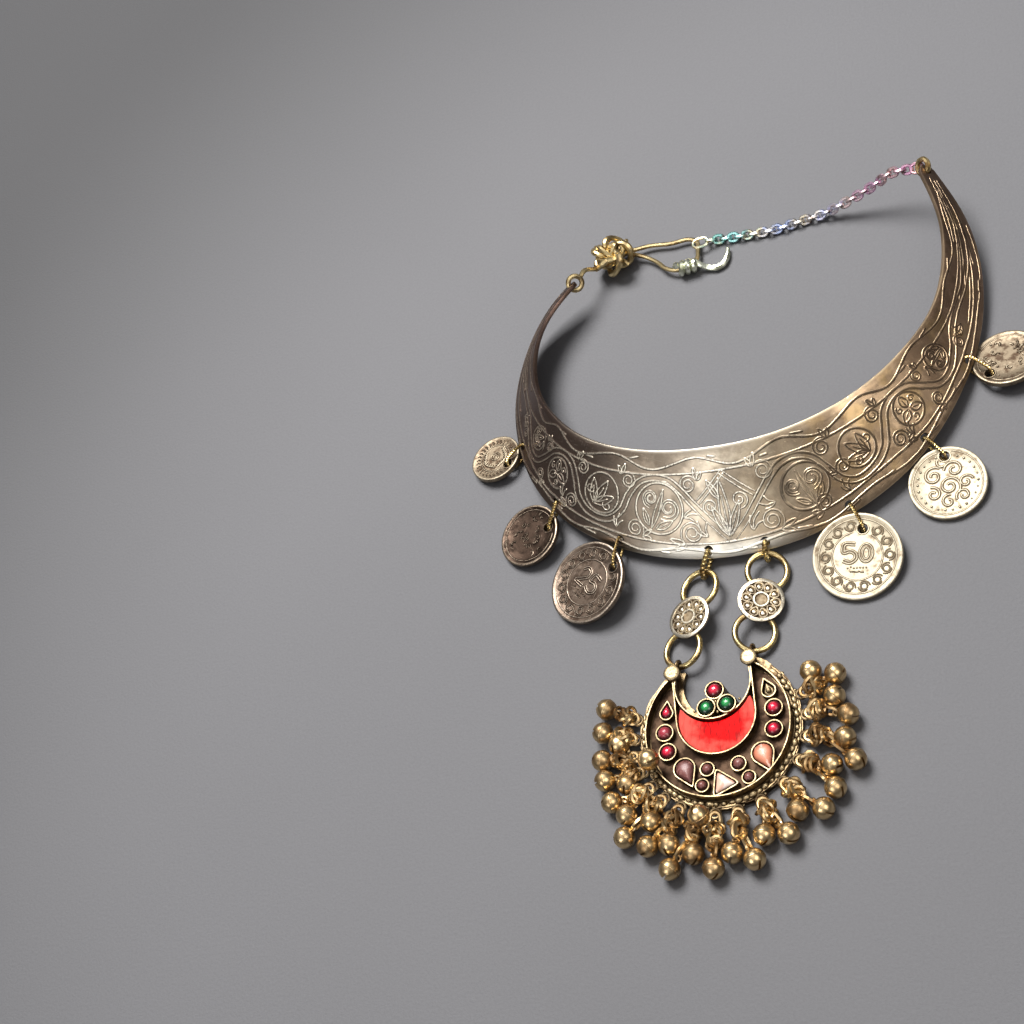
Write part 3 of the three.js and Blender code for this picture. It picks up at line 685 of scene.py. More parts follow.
class MaterialNodes(Nodes):
    """The nodes of a new material, from the piece's own coordinates to the shader."""

    def __init__(self, name: str) -> None:
        """Starts a material with nothing but the place of a point.

        Args:
            name: The material's name.
        """
        self.material = bpy.data.materials.new(name)
        self.material.use_nodes = True
        self.material.node_tree.nodes.clear()
        super().__init__(self.material.node_tree)
        self.spot = self.add("TexCoord").outputs["Object"]

    def relief(self) -> Socket:
        """The relief that the piece was made with."""
        return self.add("Attribute", {"attribute_name": RELIEF}).outputs["Fac"]

    def finish(self, colour: object, roughness: object, depth: float, strength: float, height: object,
               **values: float) -> Material:
        """Ends the material with its bump and its shader.

        Args:
            colour: The base colour.
            roughness: The roughness.
            depth: The bump's depth, in millimetres.
            strength: The bump's strength.
            height: The height that the bump follows.
            values: The shader's other inputs.

        Returns:
            The material.
        """
        bump = self.add("Bump", Distance=depth * MM, Strength=strength, Height=height)
        shader = self.add("BsdfPrincipled", Base_Color=colour, Roughness=roughness,
                          Normal=bump.outputs["Normal"], **values)
        self.add("OutputMaterial", Surface=shader.outputs["BSDF"])
        return self.material


def node_group(name: str, inputs: Sequence[tuple[str, str, object]], outputs: Sequence[tuple[str, str]]) \
        -> tuple[bpy.types.NodeTree, Nodes, bpy.types.Node, bpy.types.Node]:
    """Starts a shader node group with named sockets.

    Args:
        name: The group's name.
        inputs: Each input's name, kind and default.
        outputs: Each output's name and kind.

    Returns:
        The group, its node layer, and its input and output nodes.
    """
    tree = bpy.data.node_groups.new(name, "ShaderNodeTree")
    for label, kind, value in inputs:
        socket = tree.interface.new_socket(label, in_out="INPUT", socket_type=f"NodeSocket{kind}")
        if value is not None:
            socket.default_value = value
    for label, kind in outputs:
        tree.interface.new_socket(label, in_out="OUTPUT", socket_type=f"NodeSocket{kind}")
    nodes = Nodes(tree)
    return tree, nodes, nodes.add("NodeGroupInput"), nodes.add("NodeGroupOutput")


@lru_cache(maxsize=None)
def aged_metal_group() -> bpy.types.NodeTree:
    """The group that tarnishes a metal in patches, paints its crests light as rubbed metal and highlight and its
    hollows dark as tarnish and shade, and grains its skin.

    Returns:
        The group's tree.
    """
    tree, nodes, start, end = node_group(
        "aged_metal",
        [("Vector", "Vector", None), ("Metal", "Color", (0.6, 0.5, 0.35, 1.0)),
         ("Tarnish", "Color", (0.1, 0.07, 0.04, 1.0)), ("Glint", "Color", (0.9, 0.8, 0.6, 1.0)),
         ("Relief", "Float", 0.0), ("Patch Scale", "Float", 200.0), ("Cover", "Float", 0.5),
         ("Grain Scale", "Float", 2500.0), ("Roughness", "Float", 0.35)],
        [("Color", "Color"), ("Roughness", "Float"), ("Height", "Float")],
    )
    pick = start.outputs
    patch = nodes.clouds(pick["Vector"], pick["Patch Scale"], 5.0, Roughness=0.6)
    low = nodes.plus(0.275, nodes.times(pick["Cover"], 0.25))
    spread = nodes.step(patch, low, nodes.plus(low, 0.2))
    stain = nodes.mix(spread, pick["Tarnish"], pick["Metal"])
    grain = nodes.clouds(pick["Vector"], pick["Grain Scale"], 3.0, Roughness=0.7)
    stain = nodes.mix(nodes.times(grain, 0.2), stain, pick["Tarnish"])
    # painted light: crests take the glint colour as a highlight and hollows the tarnish colour as shade, besides
    # rubbing and tarnish
    crest = nodes.step(pick["Relief"], 0.15, 0.95)
    hollow = nodes.step(pick["Relief"], -0.1, -0.9)
    stain = nodes.mix(nodes.times(crest, nodes.step(grain, 0.3, 0.55)), stain, pick["Glint"])
    stain = nodes.mix(hollow, stain, pick["Tarnish"])
    rough = nodes.plus(pick["Roughness"], nodes.times(nodes.sum("SUBTRACT", 0.5, spread), 0.12))
    rough = nodes.plus(rough, nodes.times(hollow, 0.2))
    nodes.give(end.inputs["Color"], stain)
    nodes.give(end.inputs["Roughness"], rough)
    nodes.give(end.inputs["Height"], nodes.plus(nodes.times(grain, 0.5), nodes.times(patch, 0.4)))
    return tree


@lru_cache(maxsize=None)
def scratch_group() -> bpy.types.NodeTree:
    """The group that draws fine scratches in two directions.

    Returns:
        The group's tree.
    """
    tree, nodes, start, end = node_group(
        "scratches", [("Vector", "Vector", None), ("Scale", "Float", 3600.0), ("Angle", "Float", 0.6)],
        [("Mask", "Float"), ("Height", "Float")],
    )
    masks = []
    for hand in (1.0, -1.7):
        turn = nodes.add("VectorRotate", {"rotation_type": "Z_AXIS"}, Vector=start.outputs["Vector"],
                         Angle=nodes.times(start.outputs["Angle"], hand))
        squeeze = nodes.add("VectorMath", {"operation": "MULTIPLY"}, _0=turn.outputs["Vector"], _1=(0.05, 1.0, 0.4))
        lines = nodes.clouds(squeeze.outputs[0], start.outputs["Scale"], 2.0)
        masks.append(nodes.step(lines, 0.64, 0.74))
    mask = nodes.sum("MAXIMUM", *masks)
    nodes.give(end.inputs["Mask"], mask)
    nodes.give(end.inputs["Height"], nodes.times(mask, -1.0))
    return tree


def place_group(nodes: Nodes, tree: bpy.types.NodeTree, **values: object) -> bpy.types.Node:
    """Places a node group in a material with its own values."""
    return nodes.add("Group", {"node_tree": tree}, **values)


@dataclass(frozen=True)
class MetalFinish:
    """A worn metal.

    Args:
        name: The finish's name.
        metal: The clean metal's colour.
        tarnish: The colour of tarnish, also painted in hollows and on undersides as shade.
        glint: The colour of crests, rubbed bright and painted as highlights.
        roughness: Roughness of the clean metal.
        cover: The share that is tarnished, 0 to 1.
        patch: Patches to a metre.
        bump: The depth of the skin's unevenness, in millimetres.
    """

    name: str
    metal: Colour
    tarnish: Colour
    glint: Colour
    roughness: float = 0.32
    cover: float = 0.42
    patch: float = 260.0
    bump: float = 0.05

    def material(self) -> Material:
        """The finish as a material.

        Returns:
            The material.
        """
        nodes = MaterialNodes(self.name)
        spot = nodes.spot
        relief = nodes.relief()
        skin = place_group(nodes, aged_metal_group(), Vector=spot, Metal=self.metal, Tarnish=self.tarnish,
                           Glint=self.glint, Relief=relief, Patch_Scale=self.patch, Cover=self.cover,
                           Roughness=self.roughness)
        marks = place_group(nodes, scratch_group(), Vector=spot)
        colour = nodes.mix(nodes.times(marks.outputs["Mask"], 0.25), skin.outputs["Color"], self.glint)
        height = nodes.plus(skin.outputs["Height"], nodes.times(marks.outputs["Height"], 0.3))
        return nodes.finish(colour, skin.outputs["Roughness"], self.bump, 0.8, height, Metallic=1.0)


@dataclass(frozen=True)
class CollarFinish:
    """The collar's plate: one sheet whose tarnish changes from arm to arm, with painted highlights on its edges and
    lines.

    Args:
        name: The finish's name.
        cut: True for the engraved lines, painted with highlight and shade: a light crest and dark sides on the left arm
            and the front, a dark crest and light sides on the right.
    """

    name: str
    cut: bool = False

    GROUND = (
        (0.0, (0.13, 0.085, 0.072)), (0.22, (0.15, 0.105, 0.088)), (0.33, (0.185, 0.14, 0.115)),
        (0.41, (0.34, 0.28, 0.215)), (0.48, (0.54, 0.465, 0.365)), (0.54, (0.49, 0.40, 0.285)),
        (0.62, (0.50, 0.375, 0.25)), (0.74, (0.55, 0.39, 0.255)), (0.86, (0.40, 0.26, 0.175)),
        (1.0, (0.26, 0.185, 0.14)),
    )
    LINE_HIGHLIGHTS = (
        (0.0, (0.34, 0.26, 0.20)), (0.24, (0.46, 0.38, 0.29)), (0.33, (0.80, 0.72, 0.58)),
        (0.44, (0.90, 0.84, 0.72)), (0.5, (0.92, 0.87, 0.77)), (0.58, (0.86, 0.76, 0.58)),
        (0.72, (0.80, 0.62, 0.40)), (1.0, (0.48, 0.35, 0.23)),
    )
    GOLD = (0.58, 0.40, 0.19)
    SMOKE = (0.13, 0.08, 0.045)
    SOLDER = (0.82, 0.80, 0.73)
    DEEP = (0.05, 0.032, 0.02)
    CUT_SHADE = (0.018, 0.012, 0.01)
    FRONT = 0.487

    def material(self) -> Material:
        """The finish as a material.

        Returns:
            The material.
        """
        nodes = MaterialNodes(self.name)
        spot = nodes.spot
        share = nodes.add("SeparateXYZ", Vector=nodes.add("UVMap", {"uv_map": "sheet"}).outputs["UV"])
        along, across = share.outputs["X"], share.outputs["Y"]
        relief = nodes.relief()
        cloud = nodes.clouds(spot, 70.0, 4.0, Roughness=0.65)
        ground = nodes.ramp(nodes.plus(along, nodes.sway(cloud, 0.16)), self.GROUND)
        lines = nodes.ramp(along, self.LINE_HIGHLIGHTS)
        right = nodes.step(along, 0.53, 0.62)
        gold = nodes.times(nodes.step(nodes.clouds(spot, 160.0, 3.0), 0.5, 0.68), right)
        ground = nodes.mix(nodes.times(gold, 0.6), ground, self.GOLD)
        smoke = nodes.step(nodes.clouds(spot, 68.0, 6.0, Roughness=0.6), 0.49, 0.56)
        smoke = nodes.times(smoke, nodes.plus(0.16, nodes.times(right, 0.30)))
        ground = nodes.mix(smoke, ground, self.SMOKE)
        if self.cut:
            # painted light: on the left arm and the front a line's crest gets the highlight colour and its sides the
            # shade colour; on the right the relief is turned over, painting the crest dark and the sides light
            dark, glint = nodes.mix(0.8, ground, self.CUT_SHADE), lines
            relief = nodes.times(relief, nodes.sum("SUBTRACT", 1.0, nodes.times(right, 2.0)))
        else:
            dark, glint = nodes.mix(0.5, ground, self.DEEP), nodes.mix(0.4, ground, lines)
        skin = place_group(nodes, aged_metal_group(), Vector=spot, Metal=ground, Tarnish=dark, Glint=glint,
                           Relief=relief, Patch_Scale=110.0, Cover=0.40, Grain_Scale=1800.0, Roughness=0.40)
        marks = place_group(nodes, scratch_group(), Vector=spot, Scale=3000.0, Angle=0.5)
        colour = nodes.mix(nodes.times(marks.outputs["Mask"], 0.3), skin.outputs["Color"], glint)
        # painted highlight along the sheet's inner and outer edges, except on the left arm
        rim = nodes.sum("MAXIMUM", nodes.step(across, 0.035, 0.0), nodes.step(across, 0.975, 1.0))
        rim = nodes.times(rim, nodes.step(along, 0.2, 0.42))
        colour = nodes.mix(nodes.times(rim, 0.7), colour, lines)
        off_front = nodes.sum("ABSOLUTE", nodes.sum("SUBTRACT", along, self.FRONT))
        solder = nodes.times(nodes.step(off_front, 0.10, 0.03), nodes.step(across, 0.83, 0.93))
        colour = nodes.mix(nodes.times(solder, 0.65), colour, self.SOLDER)
        height = nodes.plus(skin.outputs["Height"], nodes.times(marks.outputs["Height"], 0.4))
        return nodes.finish(colour, skin.outputs["Roughness"], 0.06, 0.8, height, Metallic=1.0)


@dataclass(frozen=True)
class StoneFinish:
    """A polished paste stone over foil.

    Args:
        name: The finish's name.
        heart: Its colour on the crown, painted light there as a highlight where the foil shines through.
        depth: Its colour towards the setting, painted darker there as shade.
        cloud: The colour of the clouds in it.
        clouding: How much of it is clouded, 0 to 1.
        scale: Clouds to a metre.
        roughness: Roughness of its polish.
        glow: The relief from which the crown's painted highlight shows, and that where it is full.
        gloss: How strongly its face mirrors.
    """

    name: str
    heart: Colour
    depth: Colour
    cloud: Colour
    clouding: float = 0.3
    scale: float = 900.0
    roughness: float = 0.12
    glow: Spot = (0.5, 1.0)
    gloss: float = 0.5

    def material(self) -> Material:
        """The finish as a material.

        Returns:
            The material.
        """
        nodes = MaterialNodes(self.name)
        spot = nodes.spot
        relief = nodes.relief()
        clouds = nodes.clouds(spot, self.scale, 4.0, Distortion=0.8)
        # painted light: a highlight colour on the crown, shading to a dark colour towards the setting
        colour = nodes.mix(nodes.step(relief, *self.glow), self.depth, self.heart)
        veil = nodes.step(clouds, 0.72 - 0.4 * self.clouding, 0.82 - 0.4 * self.clouding)
        colour = nodes.mix(veil, colour, self.cloud)
        speck = nodes.clouds(spot, 6000.0, 2.0)
        rough = nodes.plus(self.roughness, nodes.times(nodes.step(speck, 0.5, 0.8), 0.25))
        return nodes.finish(colour, rough, 0.03, 0.5, nodes.plus(clouds, speck), Metallic=0.0, IOR=1.5,
                            Specular_IOR_Level=self.gloss, Coat_Weight=0.2 * self.gloss, Coat_Roughness=0.05)


@dataclass(frozen=True)
class GlassFinish:
    """The crescent's glass: deep red under the bay, with red veins, and coral towards its edge.

    Args:
        middle: The middle of the deep red, in the frame.
        inner: The distance at which the coral starts, in millimetres.
        outer: The distance at which it is full.
    """

    middle: Vector
    inner: float = 4.6
    outer: float = 8.2

    RED = (0.78, 0.0, 0.001)
    VEIN = (0.40, 0.0, 0.001)
    CORAL = (0.80, 0.10, 0.075)

    def material(self) -> Material:
        """The finish as a material.

        Returns:
            The material.
        """
        nodes = MaterialNodes("crescent_glass")
        spot = nodes.spot
        away = nodes.add("VectorMath", {"operation": "DISTANCE"}, _0=spot, _1=tuple(self.middle)).outputs["Value"]
        drift = nodes.clouds(spot, 420.0, 4.0)
        away = nodes.plus(away, nodes.sway(drift, 7.0 * MM))
        grown = nodes.add("VectorMath", {"operation": "MULTIPLY"}, _0=spot, _1=(1.0, 0.22, 1.0)).outputs[0]
        vein = nodes.clouds(grown, 1500.0, 3.0, Distortion=0.6)
        colour = nodes.mix(nodes.step(vein, 0.46, 0.62), self.RED, self.VEIN)
        pale = nodes.mix(nodes.step(vein, 0.42, 0.7), self.CORAL, tuple(0.7 * part for part in self.CORAL))
        colour = nodes.mix(nodes.step(away, self.inner * MM, self.outer * MM), colour, pale)
        rough = nodes.plus(0.22, nodes.times(drift, 0.2))
        return nodes.finish(colour, rough, 0.03, 0.5, nodes.plus(drift, vein), Metallic=0.0, IOR=1.5,
                            Specular_IOR_Level=0.02)


@dataclass(frozen=True)
class ChainFinish:
    """The chain's plated brass, whose tint drifts along it from turquoise to lilac."""

    name: str = "tinted_chain"
    low: float = -0.012
    high: float = 0.052

    TINTS = (
        (0.0, (0.80, 0.66, 0.40)), (0.08, (0.34, 0.78, 0.74)), (0.18, (0.42, 0.80, 0.80)),
        (0.26, (0.84, 0.74, 0.52)), (0.36, (0.48, 0.60, 0.95)), (0.46, (0.84, 0.76, 0.60)),
        (0.56, (0.62, 0.66, 0.90)), (0.66, (0.82, 0.66, 0.62)), (0.76, (0.80, 0.50, 0.74)),
        (0.86, (0.84, 0.60, 0.60)), (0.93, (0.78, 0.42, 0.66)), (1.0, (0.64, 0.40, 0.40)),
    )

    def material(self) -> Material:
        """The finish as a material.

        Returns:
            The material.
        """
        nodes = MaterialNodes(self.name)
        spot = nodes.spot
        along = nodes.add("SeparateXYZ", Vector=spot).outputs["X"]
        patch = nodes.clouds(spot, 500.0, 2.0)
        share = nodes.add("MapRange", Value=along, From_Min=self.low, From_Max=self.high).outputs["Result"]
        share = nodes.plus(share, nodes.sway(patch, 0.22))
        relief = nodes.relief()
        skin = place_group(nodes, aged_metal_group(), Vector=spot, Metal=nodes.ramp(share, self.TINTS),
                           Tarnish=(0.10, 0.07, 0.055), Glint=(0.9, 0.85, 0.78), Relief=relief, Patch_Scale=420.0,
                           Cover=0.12, Roughness=0.42)
        colour, rough, height = (skin.outputs[name] for name in ("Color", "Roughness", "Height"))
        return nodes.finish(colour, rough, 0.04, 0.7, height, Metallic=1.0)


@dataclass(frozen=True)
class FloorFinish:
    """The plain surface that the necklace lies on, with a painted pool of light on it.

    Args:
        name: The finish's name.
        tone: Its colour.
        lit: The middle of the painted pool of light, where it is lightest.
        near: The distance from there, in metres, at which it starts to darken.
        far: The distance at which it is darkest.
        fall: How much it darkens.
    """

    name: str = "plain_surface"
    tone: Colour = (0.144, 0.144, 0.154)
    lit: tuple[float, float, float] = (0.07, -0.07, 0.0)
    near: float = 0.21
    far: float = 0.42
    fall: float = 0.6

    def material(self) -> Material:
        """The finish as a material.

        Returns:
            The material.
        """
        nodes = MaterialNodes(self.name)
        spot = nodes.spot
        grain = nodes.clouds(spot, 1400.0, 3.0, Roughness=0.7)
        broad = nodes.clouds(spot, 9.0, 2.0)
        dark = tuple(0.80 * part for part in self.tone)
        colour = nodes.mix(nodes.plus(nodes.times(grain, 0.7), nodes.times(broad, 0.3)), dark,
                           tuple(1.18 * part for part in self.tone))
        # painted pool of light: the colour fades towards black away from the lit spot
        away = nodes.add("VectorMath", {"operation": "DISTANCE"}, _0=spot, _1=self.lit).outputs["Value"]
        shade = nodes.times(nodes.step(away, self.near, self.far), self.fall)
        colour = nodes.mix(shade, colour, (0.0, 0.0, 0.0))
        return nodes.finish(colour, 0.75, 0.2, 0.6, grain, Metallic=0.0)


# The collar -----------------------------------------------------------------------------------


@dataclass(frozen=True)
class Station:
    """One station of the collar: its inner edge's distance from the neck's axis and height, the
    sheet's width there, and its fall outward in degrees."""

    radius: float
    height: float
    width: float
    fall: float


@dataclass(frozen=True)
class SheetFrame:
    """The sheet's edges at one turn, and the directions across it, along it and square to it."""

    inner: Vector
    across: Vector
    along: Vector
    normal: Vector
    width: float


STATIONS = (
    Station(47.0, 19.5, 28.0, 37), Station(48.0, 19.2, 27.0, 37), Station(50.5, 18.5, 24.0, 38),
    Station(52.5, 15.5, 19.0, 38), Station(55.0, 12.5, 14.0, 44), Station(55.5, 12.8, 10.5, 50),
    Station(53.5, 13.8, 4.6, 40),
)


@dataclass(frozen=True)
class Collar:
    """The collar's one bent sheet.

    Args:
        thickness: The sheet's thickness.
        turn: Degrees from the front to a tip.
        tip_round: Degrees over which a tip is rounded off.
        hole_inset: From the outer edge to the middle of a hole.
        hole: Radius of the holes along the outer edge.
        tip_hole: Radius of the hole at each tip.
        tip_hole_turn: Where the tips' holes are, in degrees.
        hole_turns: Where the holes along the outer edge are, in degrees.
        lean: How far the arms are sprung out of true: across, along and up.
        lean_near: The sheet's tilt from arm to arm.
        ripple: How far the hammered face strays from true.
    """

    thickness: float = 1.2
    turn: float = 117.0
    tip_round: float = 2.2
    hole_inset: float = 2.2
    hole: float = 1.25
    tip_hole: float = 1.0
    tip_hole_turn: float = 115.0
    hole_turns: tuple[float, ...] = (29, 48.5, 68.5, -28, -46.5, -67, -5.5, 8.5)
    lean: tuple[float, float, float] = (6.0, 5.5, 3.6)
    lean_near: float = -1.0
    ripple: float = 0.10

    GRID = 2  # frames to a degree

    def station(self, column: str, share: float) -> float:
        """A station value between the front (0) and either tip (-1 or 1).

        Args:
            column: Which of a station's values.
            share: From the front, 0, to a tip, -1 or 1.

        Returns:
            The value.
        """
        half = [getattr(station, column) for station in STATIONS]
        values = half[:0:-1] + half
        place = (share + 1) / 2 * (len(values) - 1)
        index = min(int(place), len(values) - 2)
        t = place - index
        before, start = values[max(0, index - 1)], values[index]
        end, after = values[index + 1], values[min(index + 2, len(values) - 1)]
        leave, arrive = (end - before) * 0.5, (after - start) * 0.5
        return ((2 * start - 2 * end + leave + arrive) * t ** 3
                + (3 * end - 3 * start - 2 * leave - arrive) * t * t + leave * t + start)

    def ground_point(self, turn: float) -> Vector:
        """The inner edge's point on the plan, before the arms are sprung.

        Args:
            turn: Degrees from the front.

        Returns:
            The point.
        """
        radius = self.station("radius", turn / self.turn)
        angle = math.radians(turn)
        return Vector((radius * math.sin(angle), -radius * math.cos(angle), 0.0))

    def edges(self, turn: float) -> tuple[Vector, Vector, float]:
        """The inner edge's point, the direction across the sheet and its width at a turn.

        Args:
            turn: Degrees from the front.

        Returns:
            The point, the direction and the width.
        """
        share = turn / self.turn
        spring = abs(share) ** 3
        side = math.copysign(1.0, share)
        along = self.ground_point(min(turn + 0.5, self.turn)) - self.ground_point(max(turn - 0.5, -self.turn))
        outward = Vector((along.y, -along.x, 0.0)).normalized()
        fall = math.radians(self.station("fall", share))
        across = outward * math.cos(fall) - UP * math.sin(fall)
        inner = self.ground_point(turn) + Vector((self.lean[0] * spring, self.lean[1] * side * spring, 0.0))
        inner.z = self.station("height", share) + side * self.lean[2] * spring + self.lean_near * share
        return inner, across, self.station("width", share)

    @lru_cache(maxsize=4096)
    def frame(self, turn: float) -> SheetFrame:
        """The sheet's frame at a turn in degrees, positive to the right.

        Args:
            turn: Degrees from the front.

        Returns:
            The frame.
        """
        inner, across, width = self.edges(turn)
        ends = [self.edges(max(-self.turn, min(self.turn, turn + step))) for step in (-1, 1)]
        middles = [point + way * (wide / 2) for point, way, wide in ends]
        along = (middles[1] - middles[0]).normalized()
        return SheetFrame(inner, across, along, across.cross(along).normalized(), width)

    def near_frame(self, turn: float) -> SheetFrame:
        """The frame of the grid that is nearest to a turn."""
        return self.frame(round(turn * self.GRID) / self.GRID)

    def at(self, turn: float, share: float) -> Vector:
        """A point of the sheet's upper face.

        Args:
            turn: Degrees from the front, positive to the right.
            share: From the inner edge, 0, to the outer edge, 1.

        Returns:
            The point.
        """
        low = math.floor(turn * self.GRID) / self.GRID
        near, far = self.frame(low), self.frame(min(low + 1 / self.GRID, self.turn))
        part = (turn - low) * self.GRID if far is not near else 0.0
        first = near.inner + near.across * (near.width * share)
        second = far.inner + far.across * (far.width * share)
        face = first.lerp(second, part)
        wave = noise.noise(Vector((turn * 0.11, share * 2.2, 3.7)))
        return face + near.normal * (self.ripple * wave * math.sin(math.pi * min(1.0, max(0.0, share))))

    def hole_point(self, turn: float, inset: float) -> Vector:
        """A point of the sheet's middle plane, a distance in from the outer edge."""
        at = self.frame(turn)
        return at.inner + at.across * (at.width - inset) - at.normal * (self.thickness / 2)

    def section(self, turn: float) -> Path:
        """The sheet's section at a turn: over the face, round the outer edge and back underneath.

        Args:
            turn: Degrees from the front.

        Returns:
            The section's points.
        """
        at = self.frame(turn)
        rest = max(0.0, 1 - (self.turn - abs(turn)) / self.tip_round)
        keep = max(0.3, math.sqrt(1 - rest * rest))
        columns, margin = 12, 0.32 / at.width
        shares = [margin + (1 - 2 * margin) * step / columns for step in range(columns + 1)]
        face = [self.at(turn, 0.5 + (share - 0.5) * keep) for share in shares]
        back = [point - at.normal * self.thickness for point in reversed(face)]
        bow, shoulder = 0.3 * keep, 0.12
        edge = ((bow * 0.75, shoulder), (bow, self.thickness / 2), (bow * 0.75, self.thickness - shoulder))
        outer = [face[-1] + at.across * out - at.normal * down for out, down in edge]
        inner = [back[-1] - at.across * out + at.normal * up for out, up in edge]
        return face + outer + back + inner

    def build(self, material: Material) -> Piece:
        """The pierced sheet.

        Args:
            material: Its finish.

        Returns:
            The finished object.
        """
        end = round(self.turn) - 1
        turns = [-self.turn, -self.turn + 0.3, *map(float, range(-end, end + 1)), self.turn - 0.3, self.turn]
        sheet = Workpiece("engraved_collar")
        sheet.add(loft([self.section(turn) for turn in turns]))
        holes = Workpiece("holes")
        spots = [(turn, self.hole_inset, self.hole) for turn in self.hole_turns]
        for turn in (-self.tip_hole_turn, self.tip_hole_turn):
            spots.append((turn, self.frame(turn).width / 2, self.tip_hole))
        for turn, inset, radius in spots:
            punch = lathe([(0, -3), (radius, -3), (radius, 3), (0, 3)], 20)
            at = self.frame(turn)
            holes.add(punch, basis(at.across, at.normal.cross(at.across), at.normal, self.hole_point(turn, inset)))
        sheet.cut(holes)
        self.map_sheet(sheet.body)
        return sheet.finish(material, Slot.COLLAR, "collar_plate", crease=50)

    def map_sheet(self, body: Shape) -> None:
        """Maps the sheet so that u runs from tip to tip and v from the inner edge to the outer.

        Args:
            body: The mesh that is mapped.
        """
        layer = body.loops.layers.uv.new("sheet")
        end = round(self.turn * self.GRID)
        turns = [index / self.GRID for index in range(-end, end + 1)]
        tree = KDTree(len(turns))
        for index, turn in enumerate(turns):
            tree.insert(self.at(turn, 0.5), index)
        tree.balance()
        for vert in body.verts:
            index = tree.find(vert.co)[1]
            at = self.frame(turns[index])
            share = (vert.co - at.inner).dot(at.across) / at.width
            for loop in vert.link_loops:
                loop[layer].uv = ((turns[index] / self.turn + 1) / 2, share)


# The engraving --------------------------------------------------------------------------------


class Motif(Enum):
    """What is drawn inside a roundel."""

    SCROLLS = "scrolls"
    LEAVES = "leaves"
    TREFOIL = "trefoil"


@dataclass(frozen=True)
class Roundel:
    """A round field of the vine: its turn, its place across the sheet, its radius, what is in it
    and how far that is turned."""

    turn: float
    share: float
    radius: float
    motif: Motif
    angle: float = 0.0


